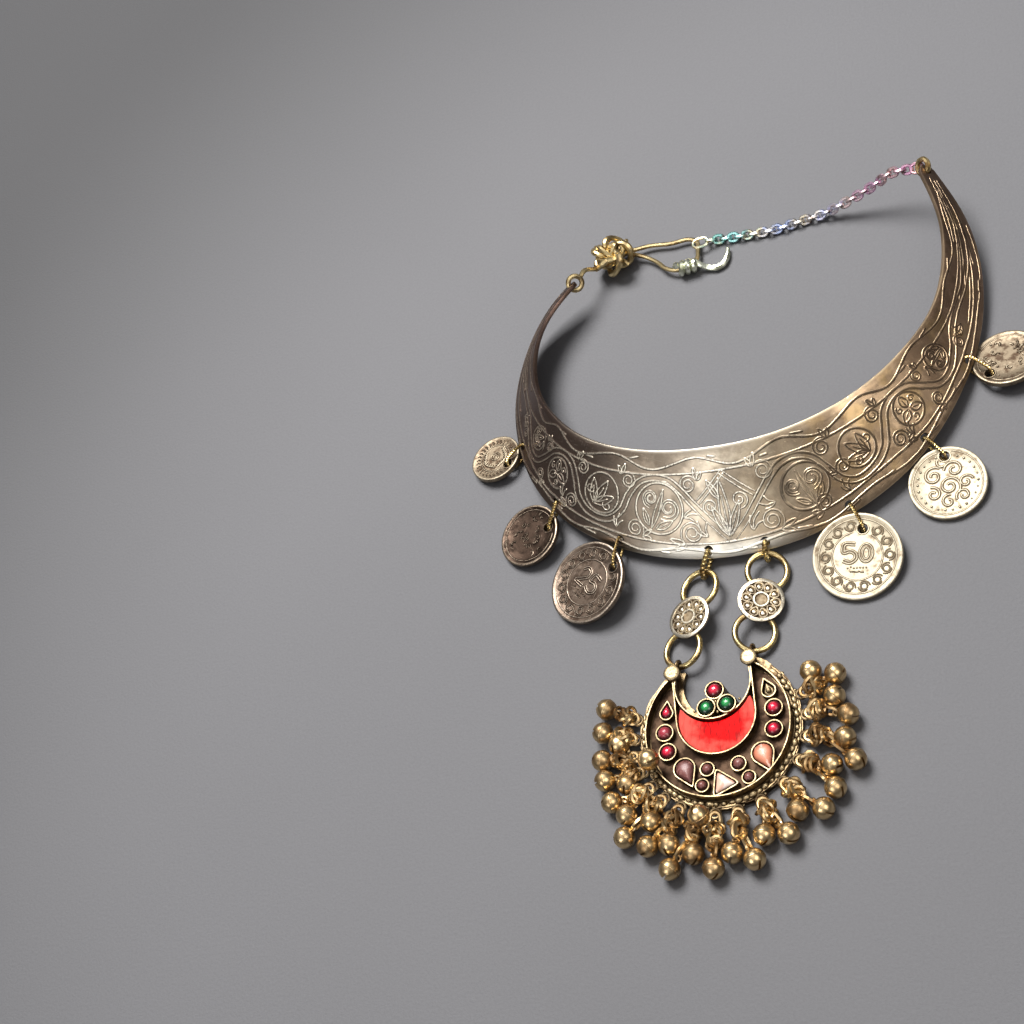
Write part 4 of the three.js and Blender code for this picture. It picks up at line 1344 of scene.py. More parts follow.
@dataclass
class Engraving:
    """The collar's engraved lines, each drawn as a low ridge on its face.

    Args:
        collar: The sheet that they are on.
        line: Half the width of a plain line.
        fine: Half the width of a fine line.
        rise: How far a line's shoulders stand over the face.
        step: The distance between two sections of a line.
    """

    collar: Collar
    line: float = 0.52
    fine: float = 0.42
    rise: float = 0.10
    step: float = 0.55

    ROUNDELS = (
        Roundel(21.5, 0.56, 5.8, Motif.SCROLLS, 10), Roundel(36.0, 0.48, 4.7, Motif.LEAVES, 40),
        Roundel(50.5, 0.54, 4.1, Motif.TREFOIL, 60), Roundel(64.5, 0.44, 3.4, Motif.SCROLLS, 90),
        Roundel(-17.5, 0.54, 6.5, Motif.SCROLLS, -20), Roundel(-34.0, 0.50, 5.2, Motif.LEAVES, -30),
        Roundel(-49.0, 0.57, 4.0, Motif.TREFOIL, -50), Roundel(-61.5, 0.44, 3.2, Motif.LEAVES, -60),
    )
    INNER_WAVE = (
        (-108, 0.30), (-101, 0.14), (-92, 0.22), (-83, 0.16), (-72, 0.07), (-63, 0.19), (-56, 0.07), (-45, 0.19),
        (-31, 0.07), (-20, 0.18), (-6, 0.08), (5.5, 0.18), (19.5, 0.07), (30, 0.18), (43, 0.07), (51, 0.19),
        (62.5, 0.07), (73, 0.20), (83, 0.09), (92, 0.24), (101, 0.14), (109, 0.32),
    )
    INNER_BORDER = (
        (-106, 0.46), (-96, 0.40), (-82, 0.36), (-68, 0.32), (-45, 0.26), (-30, 0.24), (0, 0.215), (30, 0.24),
        (45, 0.26), (68, 0.32), (84, 0.37), (98, 0.40), (107, 0.46),
    )
    OUTER_BORDER = (
        (-104, 0.66), (-88, 0.72), (-70, 0.80), (-50, 0.84), (-25, 0.85), (0, 0.86), (25, 0.84), (38, 0.80),
        (52, 0.84), (72, 0.80), (90, 0.72), (105, 0.64),
    )
    OUTER_WAVE = (
        (-98, 0.86), (-86, 0.93), (-74, 0.90), (-62, 0.96), (-52, 0.89), (-40, 0.95), (-33, 0.89), (-22, 0.955),
        (-12, 0.90), (0, 0.955), (13, 0.90), (24, 0.955), (35, 0.88), (44, 0.95), (56, 0.89), (66, 0.95),
        (78, 0.88), (90, 0.93), (100, 0.85),
    )
    VINES = (
        ((1.4, 0.83), (6, 0.66), (10, 0.50), (14, 0.36), (17.5, 0.285), (21.5, 0.27), (25.5, 0.34), (28, 0.50),
         (30, 0.66), (33, 0.745), (37, 0.74), (41, 0.65), (43.5, 0.50), (46, 0.36), (50, 0.30), (54, 0.35),
         (57, 0.52), (60, 0.68), (64, 0.72), (69, 0.62), (73, 0.48), (78, 0.44), (84, 0.52), (92, 0.60),
         (100, 0.55)),
        ((0.2, 0.83), (-4, 0.66), (-8, 0.50), (-11.5, 0.36), (-14.5, 0.28), (-18.5, 0.255), (-23, 0.30),
         (-26.2, 0.44), (-28.2, 0.62), (-31.5, 0.74), (-36, 0.755), (-40, 0.66), (-42.5, 0.48), (-45, 0.35),
         (-49, 0.30), (-53, 0.37), (-55.5, 0.54), (-58.5, 0.70), (-62.5, 0.72), (-67, 0.58), (-71, 0.45),
         (-77, 0.42), (-84, 0.52), (-92, 0.60), (-100, 0.55)),
    )
    SPRIGS = (
        (6.5, 0.80, 60, 3.4), (30.5, 0.80, 100, 2.6), (47.5, 0.78, 75, 2.4),
        (60.5, 0.38, -80, 2.2), (75.0, 0.58, 170, 2.8), (13.5, 0.60, 170, 3.0),
        (-5.0, 0.80, 120, 3.2), (-29.0, 0.80, 80, 2.6), (-44.8, 0.77, 105, 2.4),
        (-58.8, 0.40, -95, 2.2), (-73.0, 0.58, 10, 2.8), (-11.0, 0.62, 10, 2.8),
    )
    LOZENGE = ((9.4, 0.47), (1.0, 0.215), (-7.4, 0.48))
    CURLS = (
        (12.5, 0.30, 2.0, 150, -1), (11.5, 0.75, 2.3, -60, 1), (28.8, 0.30, 1.8, 30, 1), (24.5, 0.77, 1.7, -120, -1),
        (31.5, 0.56, 1.5, 200, -1), (43.0, 0.31, 1.6, 30, 1), (44.5, 0.70, 1.7, -60, 1), (57.5, 0.36, 1.3, 30, 1),
        (57.0, 0.75, 1.3, -90, -1), (71.0, 0.66, 1.3, 0, 1),
        (-9.0, 0.32, 1.8, 20, 1), (-9.0, 0.76, 2.4, -120, -1), (-26.5, 0.31, 1.7, 150, -1),
        (-24.0, 0.76, 1.9, -40, 1), (-41.0, 0.32, 1.6, 150, -1), (-42.0, 0.74, 1.6, -120, -1),
        (-55.5, 0.38, 1.2, 150, -1), (-55.0, 0.78, 1.2, -60, 1), (-68.5, 0.66, 1.2, 180, -1),
    )

    CHORD = 0.45  # between two points of a leaf or a stroke

    def __post_init__(self) -> None:
        """Starts the piece that the lines are added to."""
        self.work = Workpiece("collar_engraving")
        self.chance = random.Random(7)

    def ridge(self, places: Sequence[Spot], half: float, closed: bool = False) -> None:
        """Draws a ridge through places on the sheet.

        Args:
            places: Turns and shares across, close together.
            half: Half the ridge's width.
            closed: True if it ends where it starts.
        """
        points = [self.collar.at(turn, share) for turn, share in places]
        lifts = [self.collar.near_frame(turn).normal for turn, _ in places]
        profile = ((-1.0, -0.04), (-0.6, 0.03), (-0.36, self.rise), (0.0, 1.2 * self.rise),
                   (0.36, self.rise), (0.6, 0.03), (1.0, -0.04))
        sections = []
        frames = path_frames(points, closed, lifts)
        for index, at in enumerate(frames):
            share = index / max(1, len(frames) - 1)
            swell = 1.0 if closed else min(1.0, 0.35 + 6 * min(share, 1 - share))
            swell *= 1.0 + 0.16 * noise.noise(points[index] * 0.9)
            sections.append([at @ Vector((out * half * swell, rise, 0.0)) for out, rise in profile])
        # painted light: each line's crest gets a light relief as a highlight and its sides a dark one as shade
        self.work.add(loft(sections, closed=closed, relief=(-0.9, -0.8, 0.7, 1.0, 0.7, -0.8, -0.9)))

    def run(self, spots: Sequence[Spot], half: float, offset: float = 0.0) -> None:
        """Draws a smooth line through charted spots, moved sideways by an offset."""
        smooth = curve_through([self.flat(turn, share) for turn, share in spots], self.step)
        self.ridge([self.spot(point) for point in beside(smooth, offset)], half)

    def flat(self, turn: float, share: float) -> Vector:
        """A place on the sheet, with x its turn in degrees and y the millimetres from the inner edge."""
        return Vector((turn, share * self.collar.near_frame(turn).width, 0.0))

    def spot(self, point: Vector) -> Spot:
        """The turn and the share across of such a place, kept off the tips.

        Args:
            point: The place.

        Returns:
            Its turn and its share across.
        """
        end = self.collar.turn - 1.5
        turn = max(-end, min(end, point.x))
        return turn, point.y / self.collar.near_frame(turn).width

    def local(self, turn: float, share: float, points: Path, half: float, closed: bool = False) -> None:
        """Draws a line drawn in millimetres about a place on the sheet.

        Args:
            turn: The place's turn.
            share: Its share across.
            points: The line, x along the sheet and y towards its inner edge.
            half: Half the line's width.
            closed: True if it ends where it starts.
        """
        at = self.collar.near_frame(turn)
        reach = (self.collar.at(turn + 1, share) - self.collar.at(turn - 1, share)).length / 2
        self.ridge([(turn + p.x / reach, share - p.y / at.width) for p in points], half, closed)

    def scroll(self, turn: float, share: float, centre: Spot, outer: float, start: float, turns: float) -> None:
        """Draws a small scroll about a centre in millimetres from a place.

        Args:
            turn: The place's turn.
            share: Its share across.
            centre: The scroll's middle from there, in millimetres.
            outer: Its first radius.
            start: The bearing that it starts at.
            turns: How often it goes round.
        """
        shift = Vector((*centre, 0.0))
        points = [point + shift for point in spiral_points(outer, 0.22 * outer, start, turns)]
        self.local(turn, share, points, self.fine)

    def leaf(self, turn: float, share: float, root: Spot, angle: float, length: float, width: float) -> None:
        """Draws a pointed leaf with its midrib, from a root in millimetres from a place.

        Args:
            turn: The place's turn.
            share: Its share across.
            root: The leaf's root from there, in millimetres.
            angle: The bearing of its point.
            length: Its length.
            width: Its width.
        """
        start = Vector((*root, 0.0))
        ahead, side = bearing(angle), bearing(angle + 90)
        for hand in (-1, 1):
            edge = [start, start + ahead * (0.35 * length) + side * (hand * width / 2),
                    start + ahead * (0.72 * length) + side * (hand * width * 0.36), start + ahead * length]
            self.local(turn, share, curve_through(edge, self.CHORD), self.fine)
        if width > 1.2:
            midrib = [start + ahead * (0.12 * length), start + ahead * (0.7 * length)]
            self.local(turn, share, spaced(midrib, 0.5), 0.8 * self.fine)

    def stroke(self, turn: float, share: float, angle: float, length: float) -> None:
        """Draws one short bent stroke from a place.

        Args:
            turn: The place's turn.
            share: Its share across.
            angle: The stroke's bearing.
            length: Its length.
        """
        ahead, side = bearing(angle), bearing(angle + 90)
        bend = [Vector(), ahead * (0.5 * length) + side * (0.14 * length), ahead * length]
        self.local(turn, share, curve_through(bend, self.CHORD), self.fine)

    def roundel(self, field_: Roundel) -> None:
        """Draws a roundel: its double ring and the motif inside.

        Args:
            field_: The roundel.
        """
        turn, share, radius, angle = field_.turn, field_.share, field_.radius, field_.angle
        self.local(turn, share, circle_points(radius, max(20, round(radius * 9))), self.line, closed=True)
        turn_at = Matrix.Rotation(math.radians(angle), 3, "Z")

        def spun(x: float, y: float) -> Spot:
            """A spot of the motif, turned and grown to the roundel."""
            point = turn_at @ Vector((x * radius, y * radius, 0.0))
            return point.x, point.y

        if field_.motif is Motif.SCROLLS:
            for grow in (1.0, 0.72):
                self.scroll(turn, share, spun(-0.46, 0.24), 0.42 * grow * radius, angle - 70, -1.6)
                self.scroll(turn, share, spun(0.38, 0.16), 0.54 * grow * radius, angle + 250, 1.5)
            self.leaf(turn, share, spun(0.0, -0.90), angle + 92, 1.7 * radius, 0.18 * radius)
            self.leaf(turn, share, spun(-0.12, -0.82), angle + 132, 0.75 * radius, 0.22 * radius)
            self.leaf(turn, share, spun(0.16, -0.82), angle + 48, 0.8 * radius, 0.26 * radius)
        elif field_.motif is Motif.LEAVES:
            for way in (58, 92, 128):
                length = (1.5 - 0.006 * abs(way - 92)) * radius
                self.leaf(turn, share, spun(0.0, -0.75), angle + way, length, 0.42 * radius)
            self.scroll(turn, share, spun(-0.62, -0.30), 0.26 * radius, angle, -1.2)
            self.scroll(turn, share, spun(0.62, -0.30), 0.26 * radius, angle + 180, 1.2)
        else:
            for way in (30, 150, 270):
                root = spun(0.08 * math.cos(math.radians(way)), 0.08 * math.sin(math.radians(way)))
                self.leaf(turn, share, root, angle + way, 0.84 * radius, 0.5 * radius)
                root = spun(0.62 * math.cos(math.radians(way + 60)), 0.62 * math.sin(math.radians(way + 60)))
                self.scroll(turn, share, root, 0.25 * radius, angle + way, 1.2)

    def dashes(self, line: Sequence[Spot], aside: float, share_cut: float) -> None:
        """Draws short strokes beside a wavy line, in its hollows.

        Args:
            line: The wavy line, as turns and shares.
            aside: How far the strokes lie from it, as a share.
            share_cut: The share of the hollows that is left bare.
        """
        for (turn, share), (after, share_after) in zip(line, line[1:]):
            if abs(turn) > 90 or self.chance.random() < share_cut:
                continue
            middle = turn + (after - turn) * (0.35 + 0.3 * self.chance.random())
            place = (share + share_after) / 2 + aside * math.copysign(1.0, share - share_after)
            length = 1.0 + 1.4 * self.chance.random()
            tilt = math.radians(self.chance.uniform(-14, 14))
            stroke = Vector((math.cos(tilt), math.sin(tilt), 0.0)) * length
            self.local(middle, place, spaced([-stroke, stroke], 0.5), self.fine * 1.15)

    def arm_lines(self) -> None:
        """Draws the long lines that run together towards each tip."""
        for side in (-1, 1):
            for start, end, first, last in ((84, 112, 0.56, 0.52), (80, 109, 0.46, 0.40), (90, 112, 0.78, 0.66),
                                            (76, 100, 0.72, 0.70), (94, 113, 0.30, 0.36)):
                sway = 0.05 * self.chance.uniform(-1, 1)
                middle = (side * (start + end) / 2, (first + last) / 2 + sway)
                self.run([(side * start, first), middle, (side * end, last)], self.line)

    def build(self, material: Material) -> Piece:
        """All the lines as one piece.

        Args:
            material: Its finish.

        Returns:
            The finished object.
        """
        for spots in (self.INNER_WAVE, self.INNER_BORDER, self.OUTER_BORDER, self.OUTER_WAVE):
            self.run(spots, self.line)
        for vine in self.VINES:
            for offset in (-0.75, 0.75):
                self.run(vine, self.line, offset)
        for side in zip(self.LOZENGE, self.LOZENGE[1:]):
            for offset in (0.0, 1.1):
                self.run(side, self.fine, offset)
        for turn, share, angle, length in self.SPRIGS:
            for lean, grow in ((-30, 1.15), (0, 1.5), (30, 1.15)):
                self.stroke(turn, share, angle + lean, grow * length)
        for turn, share, radius, start, hand in self.CURLS:
            self.scroll(turn, share, (0.0, 0.0), 1.4 * radius, start, 2.1 * hand)
            root = bearing(start) * (1.4 * radius)
            for lean, length in ((35, 1.5), (78, 1.9)):
                self.leaf(turn, share, (root.x, root.y), start + lean * hand, length * radius, 0.5 * radius)
        self.lozenge_leaves()
        for field_ in self.ROUNDELS:
            self.roundel(field_)
        self.dashes(self.INNER_WAVE, 0.045, 0.25)
        self.dashes(self.OUTER_WAVE, 0.018, 0.1)
        self.arm_lines()
        self.collar.map_sheet(self.work.body)
        return self.work.finish(material, Slot.COLLAR, crease=180)

    def lozenge_leaves(self) -> None:
        """Draws the leaves and scrolls inside the front lozenge."""
        root = (0.0, -8.0)
        for angle, length, width in ((112, 9.0, 1.7), (92, 15.0, 2.3), (66, 9.5, 1.8)):
            self.leaf(0.4, 0.53, root, angle, length, width)
        self.scroll(-3.4, 0.53, (0.0, 0.0), 2.3, -80, -1.6)
        self.scroll(4.6, 0.50, (0.0, 0.0), 2.5, 260, 1.6)
        self.leaf(0.4, 0.53, (-1.0, 1.5), 118, 6.0, 1.5)


# Coins and their rings ------------------------------------------------------------------------


class Strike(Enum):
    """What a coin's upper face shows."""

    NUMERALS = "numerals"
    WREATH = "wreath"
    WORN = "worn"
    SCROLLS = "scrolls"


class Age(Enum):
    """How far a coin is blackened with age."""

    BRIGHT = "bright"
    TONED = "toned"
    WORN = "worn"
    DARK = "dark"


@dataclass(frozen=True)
class Coin:
    """A pierced coin that lies with its lowest edge on the surface.

    Args:
        node: The CAD node that it stands for.
        x: Its middle, across.
        y: Its middle, along.
        across: Its width.
        hole_at: The bearing of its hole from its middle.
        hole_out: The distance of its hole from its middle.
        tip: How far it is tipped up, in degrees.
        tip_to: The bearing that it is tipped up towards.
        strike: What its face shows.
        upright: The bearing that the top of its face points to.
        age: How far it is blackened.
        thickness: Its thickness.
        hole: Radius of its hole.
        value: The figures of its value.
        sunk: How deep its face lies under its rim.
    """

    node: str
    x: float
    y: float
    across: float
    hole_at: float
    hole_out: float
    tip: float
    tip_to: float
    strike: Strike
    upright: float
    age: Age = Age.BRIGHT
    thickness: float = 1.4
    hole: float = 1.25
    value: str = "50"
    sunk: float = 0.16

    FIGURES = {
        "5": ((0.30, 0.5), (-0.26, 0.5), (-0.31, 0.05), (0.02, 0.13), (0.32, -0.05), (0.33, -0.30),
              (0.05, -0.5), (-0.34, -0.38)),
        "2": ((-0.32, 0.26), (-0.10, 0.5), (0.24, 0.42), (0.28, 0.14), (-0.02, -0.20), (-0.34, -0.48),
              (0.34, -0.48)),
    }

    SCROLL_WORK = (
        (-0.30, 0.26, 0.27, 40, 1.4), (0.24, 0.30, 0.26, 170, -1.3), (0.02, -0.12, 0.30, -50, 1.5),
        (-0.42, -0.22, 0.21, 100, -1.2), (0.44, -0.12, 0.20, 10, 1.2), (-0.10, -0.52, 0.20, 60, 1.1),
        (0.30, -0.46, 0.20, 200, -1.2), (0.0, 0.56, 0.16, 120, 1.1),
    )

    def place(self) -> Matrix:
        """From the coin's own frame, z through it, to the bench."""
        rise = self.across / 2 * math.sin(math.radians(self.tip)) + 0.03
        return moved(self.x, self.y, rise) @ turned(self.tip_to) @ turned(-self.tip, "Y")

    def ridge(self, work: Workpiece, points: Path, half: float, height: float = 0.2, closed: bool = False) -> None:
        """Strikes a rounded ridge along points on the coin's face, broken off at the hole.

        Args:
            work: The piece in the making.
            points: The ridge's middle line.
            half: Half its width.
            height: Its height.
            closed: True if it ends where it starts.
        """
        spot, margin = self.hole_spot(), 0.7
        clear = [(point - spot).length > self.hole + margin for point in points]
        if not all(clear):
            start = clear.index(False) if closed else 0
            run: Path = []
            for index in range(len(points) + 1):
                place = (start + index) % len(points)
                if index < len(points) and clear[place]:
                    run.append(points[place])
                    continue
                if len(run) > 2:
                    self.ridge(work, run, half, height)
                run = []
            return
        top = self.thickness - self.sunk
        side = ((-2.1, -0.03), (-1.8, 0.012), (-1.0, 0.014), (-0.6, 0.72 * height))
        profile = (*side, (0.0, height), *((-out, rise) for out, rise in reversed(side)))
        frames = path_frames([point + UP * top for point in points], closed, [UP] * len(points))
        relief = (0.0, -0.6, -0.9, 0.2, 0.8, 0.2, -0.9, -0.6, 0.0)
        work.add(loft(swept(frames, profile, half), closed=closed, relief=relief))

    def spun(self, points: Path, x: float = 0.0, y: float = 0.0) -> Path:
        """Points of the design moved to a spot of the face and turned upright."""
        at = turned(self.upright - self.tip_to - 90) @ moved(x, y)
        return [at @ point for point in points]

    def numeral(self, work: Workpiece, figure: str, x: float, size: float) -> None:
        """Strikes a figure as a double line, as coins show their value.

        Args:
            work: The piece in the making.
            figure: The figure.
            x: How far to the right it stands.
            size: Its height.
        """
        if figure == "0":
            for grow in (1.0, 0.5):
                tall = 0.5 * size - (1 - grow) * 0.36 * size
                ring = [Vector((p.x * 0.36 * size * grow, p.y * tall, 0)) for p in circle_points(1.0, 28)]
                self.ridge(work, self.spun(ring, x, 0.7), 0.19, closed=True)
            return
        stroke = curve_through([Vector((px * size, py * size, 0)) for px, py in self.FIGURES[figure]], 0.3)
        for offset in (-0.30, 0.30):
            self.ridge(work, self.spun(beside(stroke, offset), x, 0.7), 0.19)

    def rays(self, work: Workpiece, radius: float, count: int, length: float, half: float, lean: float) -> None:
        """Strikes a circle of short bent strokes.

        Args:
            work: The piece in the making.
            radius: The circle's radius.
            count: How many strokes.
            length: A stroke's length.
            half: Half its width.
            lean: How far its middle is bent aside, as a share of its length.
        """
        for index in range(count):
            stroke = [Vector((0, -length / 2, 0)), Vector((lean * length, 0, 0)), Vector((0, length / 2, 0))]
            at = turned(360 * index / count) @ moved(0, radius)
            self.ridge(work, [at @ point for point in spaced(stroke, 0.4)], half)

    def strike_numerals(self, work: Workpiece) -> None:
        """Strikes the coin's value in a ring of buds, over two rows of dashes.

        Args:
            work: The piece in the making.
        """
        reach, chance = self.across / 2, random.Random(self.node)
        for share in (0.56, 0.86):
            self.ridge(work, circle_points(share * reach, 48), 0.14, 0.1, closed=True)
        size = 0.42 * reach
        self.numeral(work, self.value[0], -0.42 * size, size)
        self.numeral(work, self.value[1], 0.46 * size, size)
        buds = 14
        for index in range(buds):
            angle = 360 * index / buds
            at = bearing(angle + 8) * (0.71 * reach)
            if (at - self.hole_spot()).length < self.hole + 1.05:
                continue
            self.ridge(work, [point + at for point in circle_points(0.075 * reach, 12)], 0.16, closed=True)
            for hand in (-1, 1):
                tail = spiral_points(0.135 * reach, 0.10 * reach, angle + 90 * hand, 0.36)
                self.ridge(work, [point + at for point in tail], 0.13)
        for row, width in ((-2.9, 2.4), (-4.0, 1.6)):
            for index in range(-3, 4):
                x = index * width / 3.2
                dash = [Vector((x + end, row + chance.uniform(-0.2, 0.2), 0)) for end in (-0.22, 0.22)]
                self.ridge(work, self.spun(dash), 0.14)

    def strike_wreath(self, work: Workpiece) -> None:
        """Strikes two leafy branches about a ringed boss, inside a circle of rays.

        Args:
            work: The piece in the making.
        """
        reach = self.across / 2
        self.ridge(work, circle_points(0.60 * reach, 40), 0.16, 0.12, closed=True)
        self.rays(work, 0.74 * reach, 30, 0.16 * reach, 0.16, 0.35)
        for hand in (-1, 1):
            branch = [Vector((hand * out * reach, up * reach, 0))
                      for out, up in ((0.05, -0.45), (0.42, -0.15), (0.36, 0.3))]
            run = curve_through(branch, 0.4)
            self.ridge(work, self.spun(run), 0.2)
            for point in run[1::2]:
                for out, up in ((0.5, 0.75), (-0.55, 0.65)):
                    self.ridge(work, self.spun([point, point + Vector((hand * out, up, 0))]), 0.2)
        for radius in (0.17, 0.08):
            boss = circle_points(radius * reach, 16)
            self.ridge(work, self.spun(boss, 0, 0.08 * reach), 0.17, closed=True)

    def strike_worn(self, work: Workpiece) -> None:
        """Strikes the curls that are left of a design rubbed away.

        Args:
            work: The piece in the making.
        """
        reach, chance = self.across / 2, random.Random(self.node)
        self.ridge(work, circle_points(0.84 * reach, 44), 0.13, 0.08, closed=True)
        for _ in range(34):
            at = bearing(chance.uniform(0, 360)) * (0.7 * reach * math.sqrt(chance.random()))
            curl = spiral_points(chance.uniform(0.4, 1.0), 0.3, chance.uniform(0, 360), chance.uniform(0.25, 0.6))
            self.ridge(work, [at + point for point in curl], chance.uniform(0.14, 0.24), 0.24)

    def strike_scrolls(self, work: Workpiece) -> None:
        """Strikes a field of scrolls in a ring of beads.

        Args:
            work: The piece in the making.
        """
        reach, chance = self.across / 2, random.Random(self.node)
        self.ridge(work, circle_points(0.88 * reach, 48), 0.13, 0.08, closed=True)
        for x, y, size, start, turns in self.SCROLL_WORK:
            scroll = spiral_points(size * reach, 0.22 * size * reach, start, turns)
            self.ridge(work, self.spun(scroll, x * reach, y * reach), 0.24, 0.26)
        beads = 26
        for index in range(beads):
            at = bearing(360 * index / beads) * (0.76 * reach)
            if (at - self.hole_spot()).length > self.hole + 0.8:
                bead = granule(0.3 + 0.12 * chance.random(), 0)
                work.add(bead, moved(at.x, at.y, self.thickness - self.sunk))

    def design(self, work: Workpiece) -> None:
        """Strikes the design of the coin's upper face.

        Args:
            work: The piece in the making.
        """
        strikes = {Strike.NUMERALS: self.strike_numerals, Strike.WREATH: self.strike_wreath,
                   Strike.WORN: self.strike_worn, Strike.SCROLLS: self.strike_scrolls}
        strikes[self.strike](work)

    def hole_spot(self) -> Vector:
        """The hole's middle in the coin's own frame."""
        return bearing(self.hole_at - self.tip_to) * self.hole_out

    def build(self, material: Material) -> Piece:
        """The struck and pierced coin.

        Args:
            material: Its finish.

        Returns:
            The finished object.
        """
        reach, thick = self.across / 2, self.thickness
        profile = [(0, 0.12), (reach - 1.3, 0.12), (reach - 1.0, 0.0), (reach - 0.14, 0.0), (reach, 0.14),
                   (reach, thick - 0.14), (reach - 0.14, thick), (reach - 0.62, thick),
                   (reach - 0.95, thick - self.sunk), (reach * 0.5, thick - self.sunk - 0.01), (0, thick - self.sunk)]
        relief = (0, 0, 0.3, 0.4, 0.4, 0.4, 0.7, 0.3, -0.3, -0.05, 0.0)
        blank = Workpiece("blank")
        blank.add(lathe(profile, 72, relief))
        punch = Workpiece("punch")
        spot = self.hole_spot()
        punch.add(lathe([(0, -2), (self.hole, -2), (self.hole, 4), (0, 4)], 24), moved(spot.x, spot.y))
        blank.cut(punch)
        self.design(blank)
        blank.add(level_ring(self.hole + 0.22, 0.2, 26, 6), moved(spot.x, spot.y, thick - 0.15))
        coin = Workpiece(f"struck_{self.node}", self.place())
        coin.add(blank.body)
        slot = Slot.BRIGHT_COIN if self.age in (Age.BRIGHT, Age.TONED) else Slot.DARK_COIN
        return coin.finish(material, slot, self.node, crease=60)


def twisted_oval(work: Workpiece, start: Vector, end: Vector, side: Vector, half_width: float, gauge: float,
                 lay: float, twists: int) -> None:
    """Adds an oval ring of two strands twisted together.

    Args:
        work: The piece that it is added to.
        start: One end of its middle line.
        end: The other end.
        side: The direction that it is half its width in.
        half_width: Half its width.
        gauge: Radius of a strand.
        lay: From the strands' common middle line to a strand's.
        twists: How often the strands go round each other.
    """
    ahead = (end - start).normalized()
    lift = ahead.cross(side).normalized()
    at = basis(ahead, lift.cross(ahead), lift, start.lerp(end, 0.5))
    half = (end - start).length / 2
    middle = curve_through([at @ point for point in oval_points(half, min(half_width, half), 28)], 0.22, closed=True)
    frames = path_frames(middle, True, [lift] * len(middle))
    for phase in (0, 180):
        strand = [frame_at @ (bearing(360 * twists * index / len(frames) + phase) * lay)
                  for index, frame_at in enumerate(frames)]
        work.add(wire(strand, gauge, 6, closed=True, lifts=[lift] * len(strand)))


COINS = (
    Coin("coin_right_1", 31.2, -73.7, 22.0, 75, 7.0, 9, 90, Strike.NUMERALS, 84),
    Coin("coin_right_2", 53.6, -56.7, 19.0, 92, 7.0, 6, 95, Strike.SCROLLS, 100),
    Coin("coin_right_3", 70.2, -24.4, 17.4, -135, 6.2, 10, -72, Strike.WORN, 60, Age.TONED),
    Coin("coin_left_1", -37.5, -71.6, 22.0, 15, 8.3, 15, 15, Strike.NUMERALS, 40, Age.WORN, value="25"),
    Coin("coin_left_2", -54.8, -54.8, 17.4, 8, 5.9, 11, 8, Strike.WORN, 120, Age.DARK),
    Coin("coin_left_3", -66.5, -29.0, 14.4, -35, 5.0, 8, -45, Strike.WREATH, 100, Age.TONED),
)


@dataclass(frozen=True)
class CoinRing:
    """A coin's ring: two strands twisted together, in a long oval through the collar's hole and the
    coin's.

    Args:
        node: The CAD node that it stands for.
        hole_turn: The turn of the collar's hole.
        half_width: Half the oval's width.
        roll: Its roll about its length, in degrees.
        past: How far it reaches past the middle of each hole.
        dip: How far its end at the coin lies under the coin's middle.
        strand: Radius of a strand.
        lay: From the strands' common middle line to a strand's.
        twists: How often the strands go round each other.
    """

    node: str
    hole_turn: float
    half_width: float
    roll: float
    past: float = 0.2
    dip: float = 0.4
    strand: float = 0.27
    lay: float = 0.25
    twists: int = 13

    def build(self, collar: Collar, coin: Coin, material: Material) -> Piece:
        """The ring from the collar to its coin.

        Args:
            collar: The collar that it hangs from.
            coin: The coin that it holds.
            material: Its finish.

        Returns:
            The finished object.
        """
        hole = collar.hole_point(self.hole_turn, collar.hole_inset)
        spot = coin.place() @ (coin.hole_spot() + UP * (coin.thickness / 2))
        reach = (spot - hole).normalized() * self.past
        start, end = hole - reach - UP * 0.4, spot + reach - UP * self.dip
        ahead = (end - start).normalized()
        side = Matrix.Rotation(math.radians(self.roll), 3, ahead) @ ahead.cross(UP).cross(ahead).normalized()
        work = Workpiece(f"twisted_{self.node}")
        twisted_oval(work, start, end, side, self.half_width, self.strand, self.lay, self.twists)
        return work.finish(material, Slot.RING, self.node)


COIN_RINGS = (
    CoinRing("coin_ring_right_1", 29, 1.9, -10), CoinRing("coin_ring_right_2", 48.5, 1.5, -10),
    CoinRing("coin_ring_right_3", 68.5, 2.3, -20, 0.5, strand=0.24, lay=0.22),
    CoinRing("coin_ring_left_1", -28, 2.2, 0, dip=0.0, strand=0.24, lay=0.22),
    CoinRing("coin_ring_left_2", -46.5, 1.7, -10, 0.5), CoinRing("coin_ring_left_3", -67, 1.7, 30),
)


# The pendant ----------------------------------------------------------------------------------


class Cut(Enum):
    """A stone's outline."""

    ROUND = "round"
    DROP = "drop"
    TRIANGLE = "triangle"


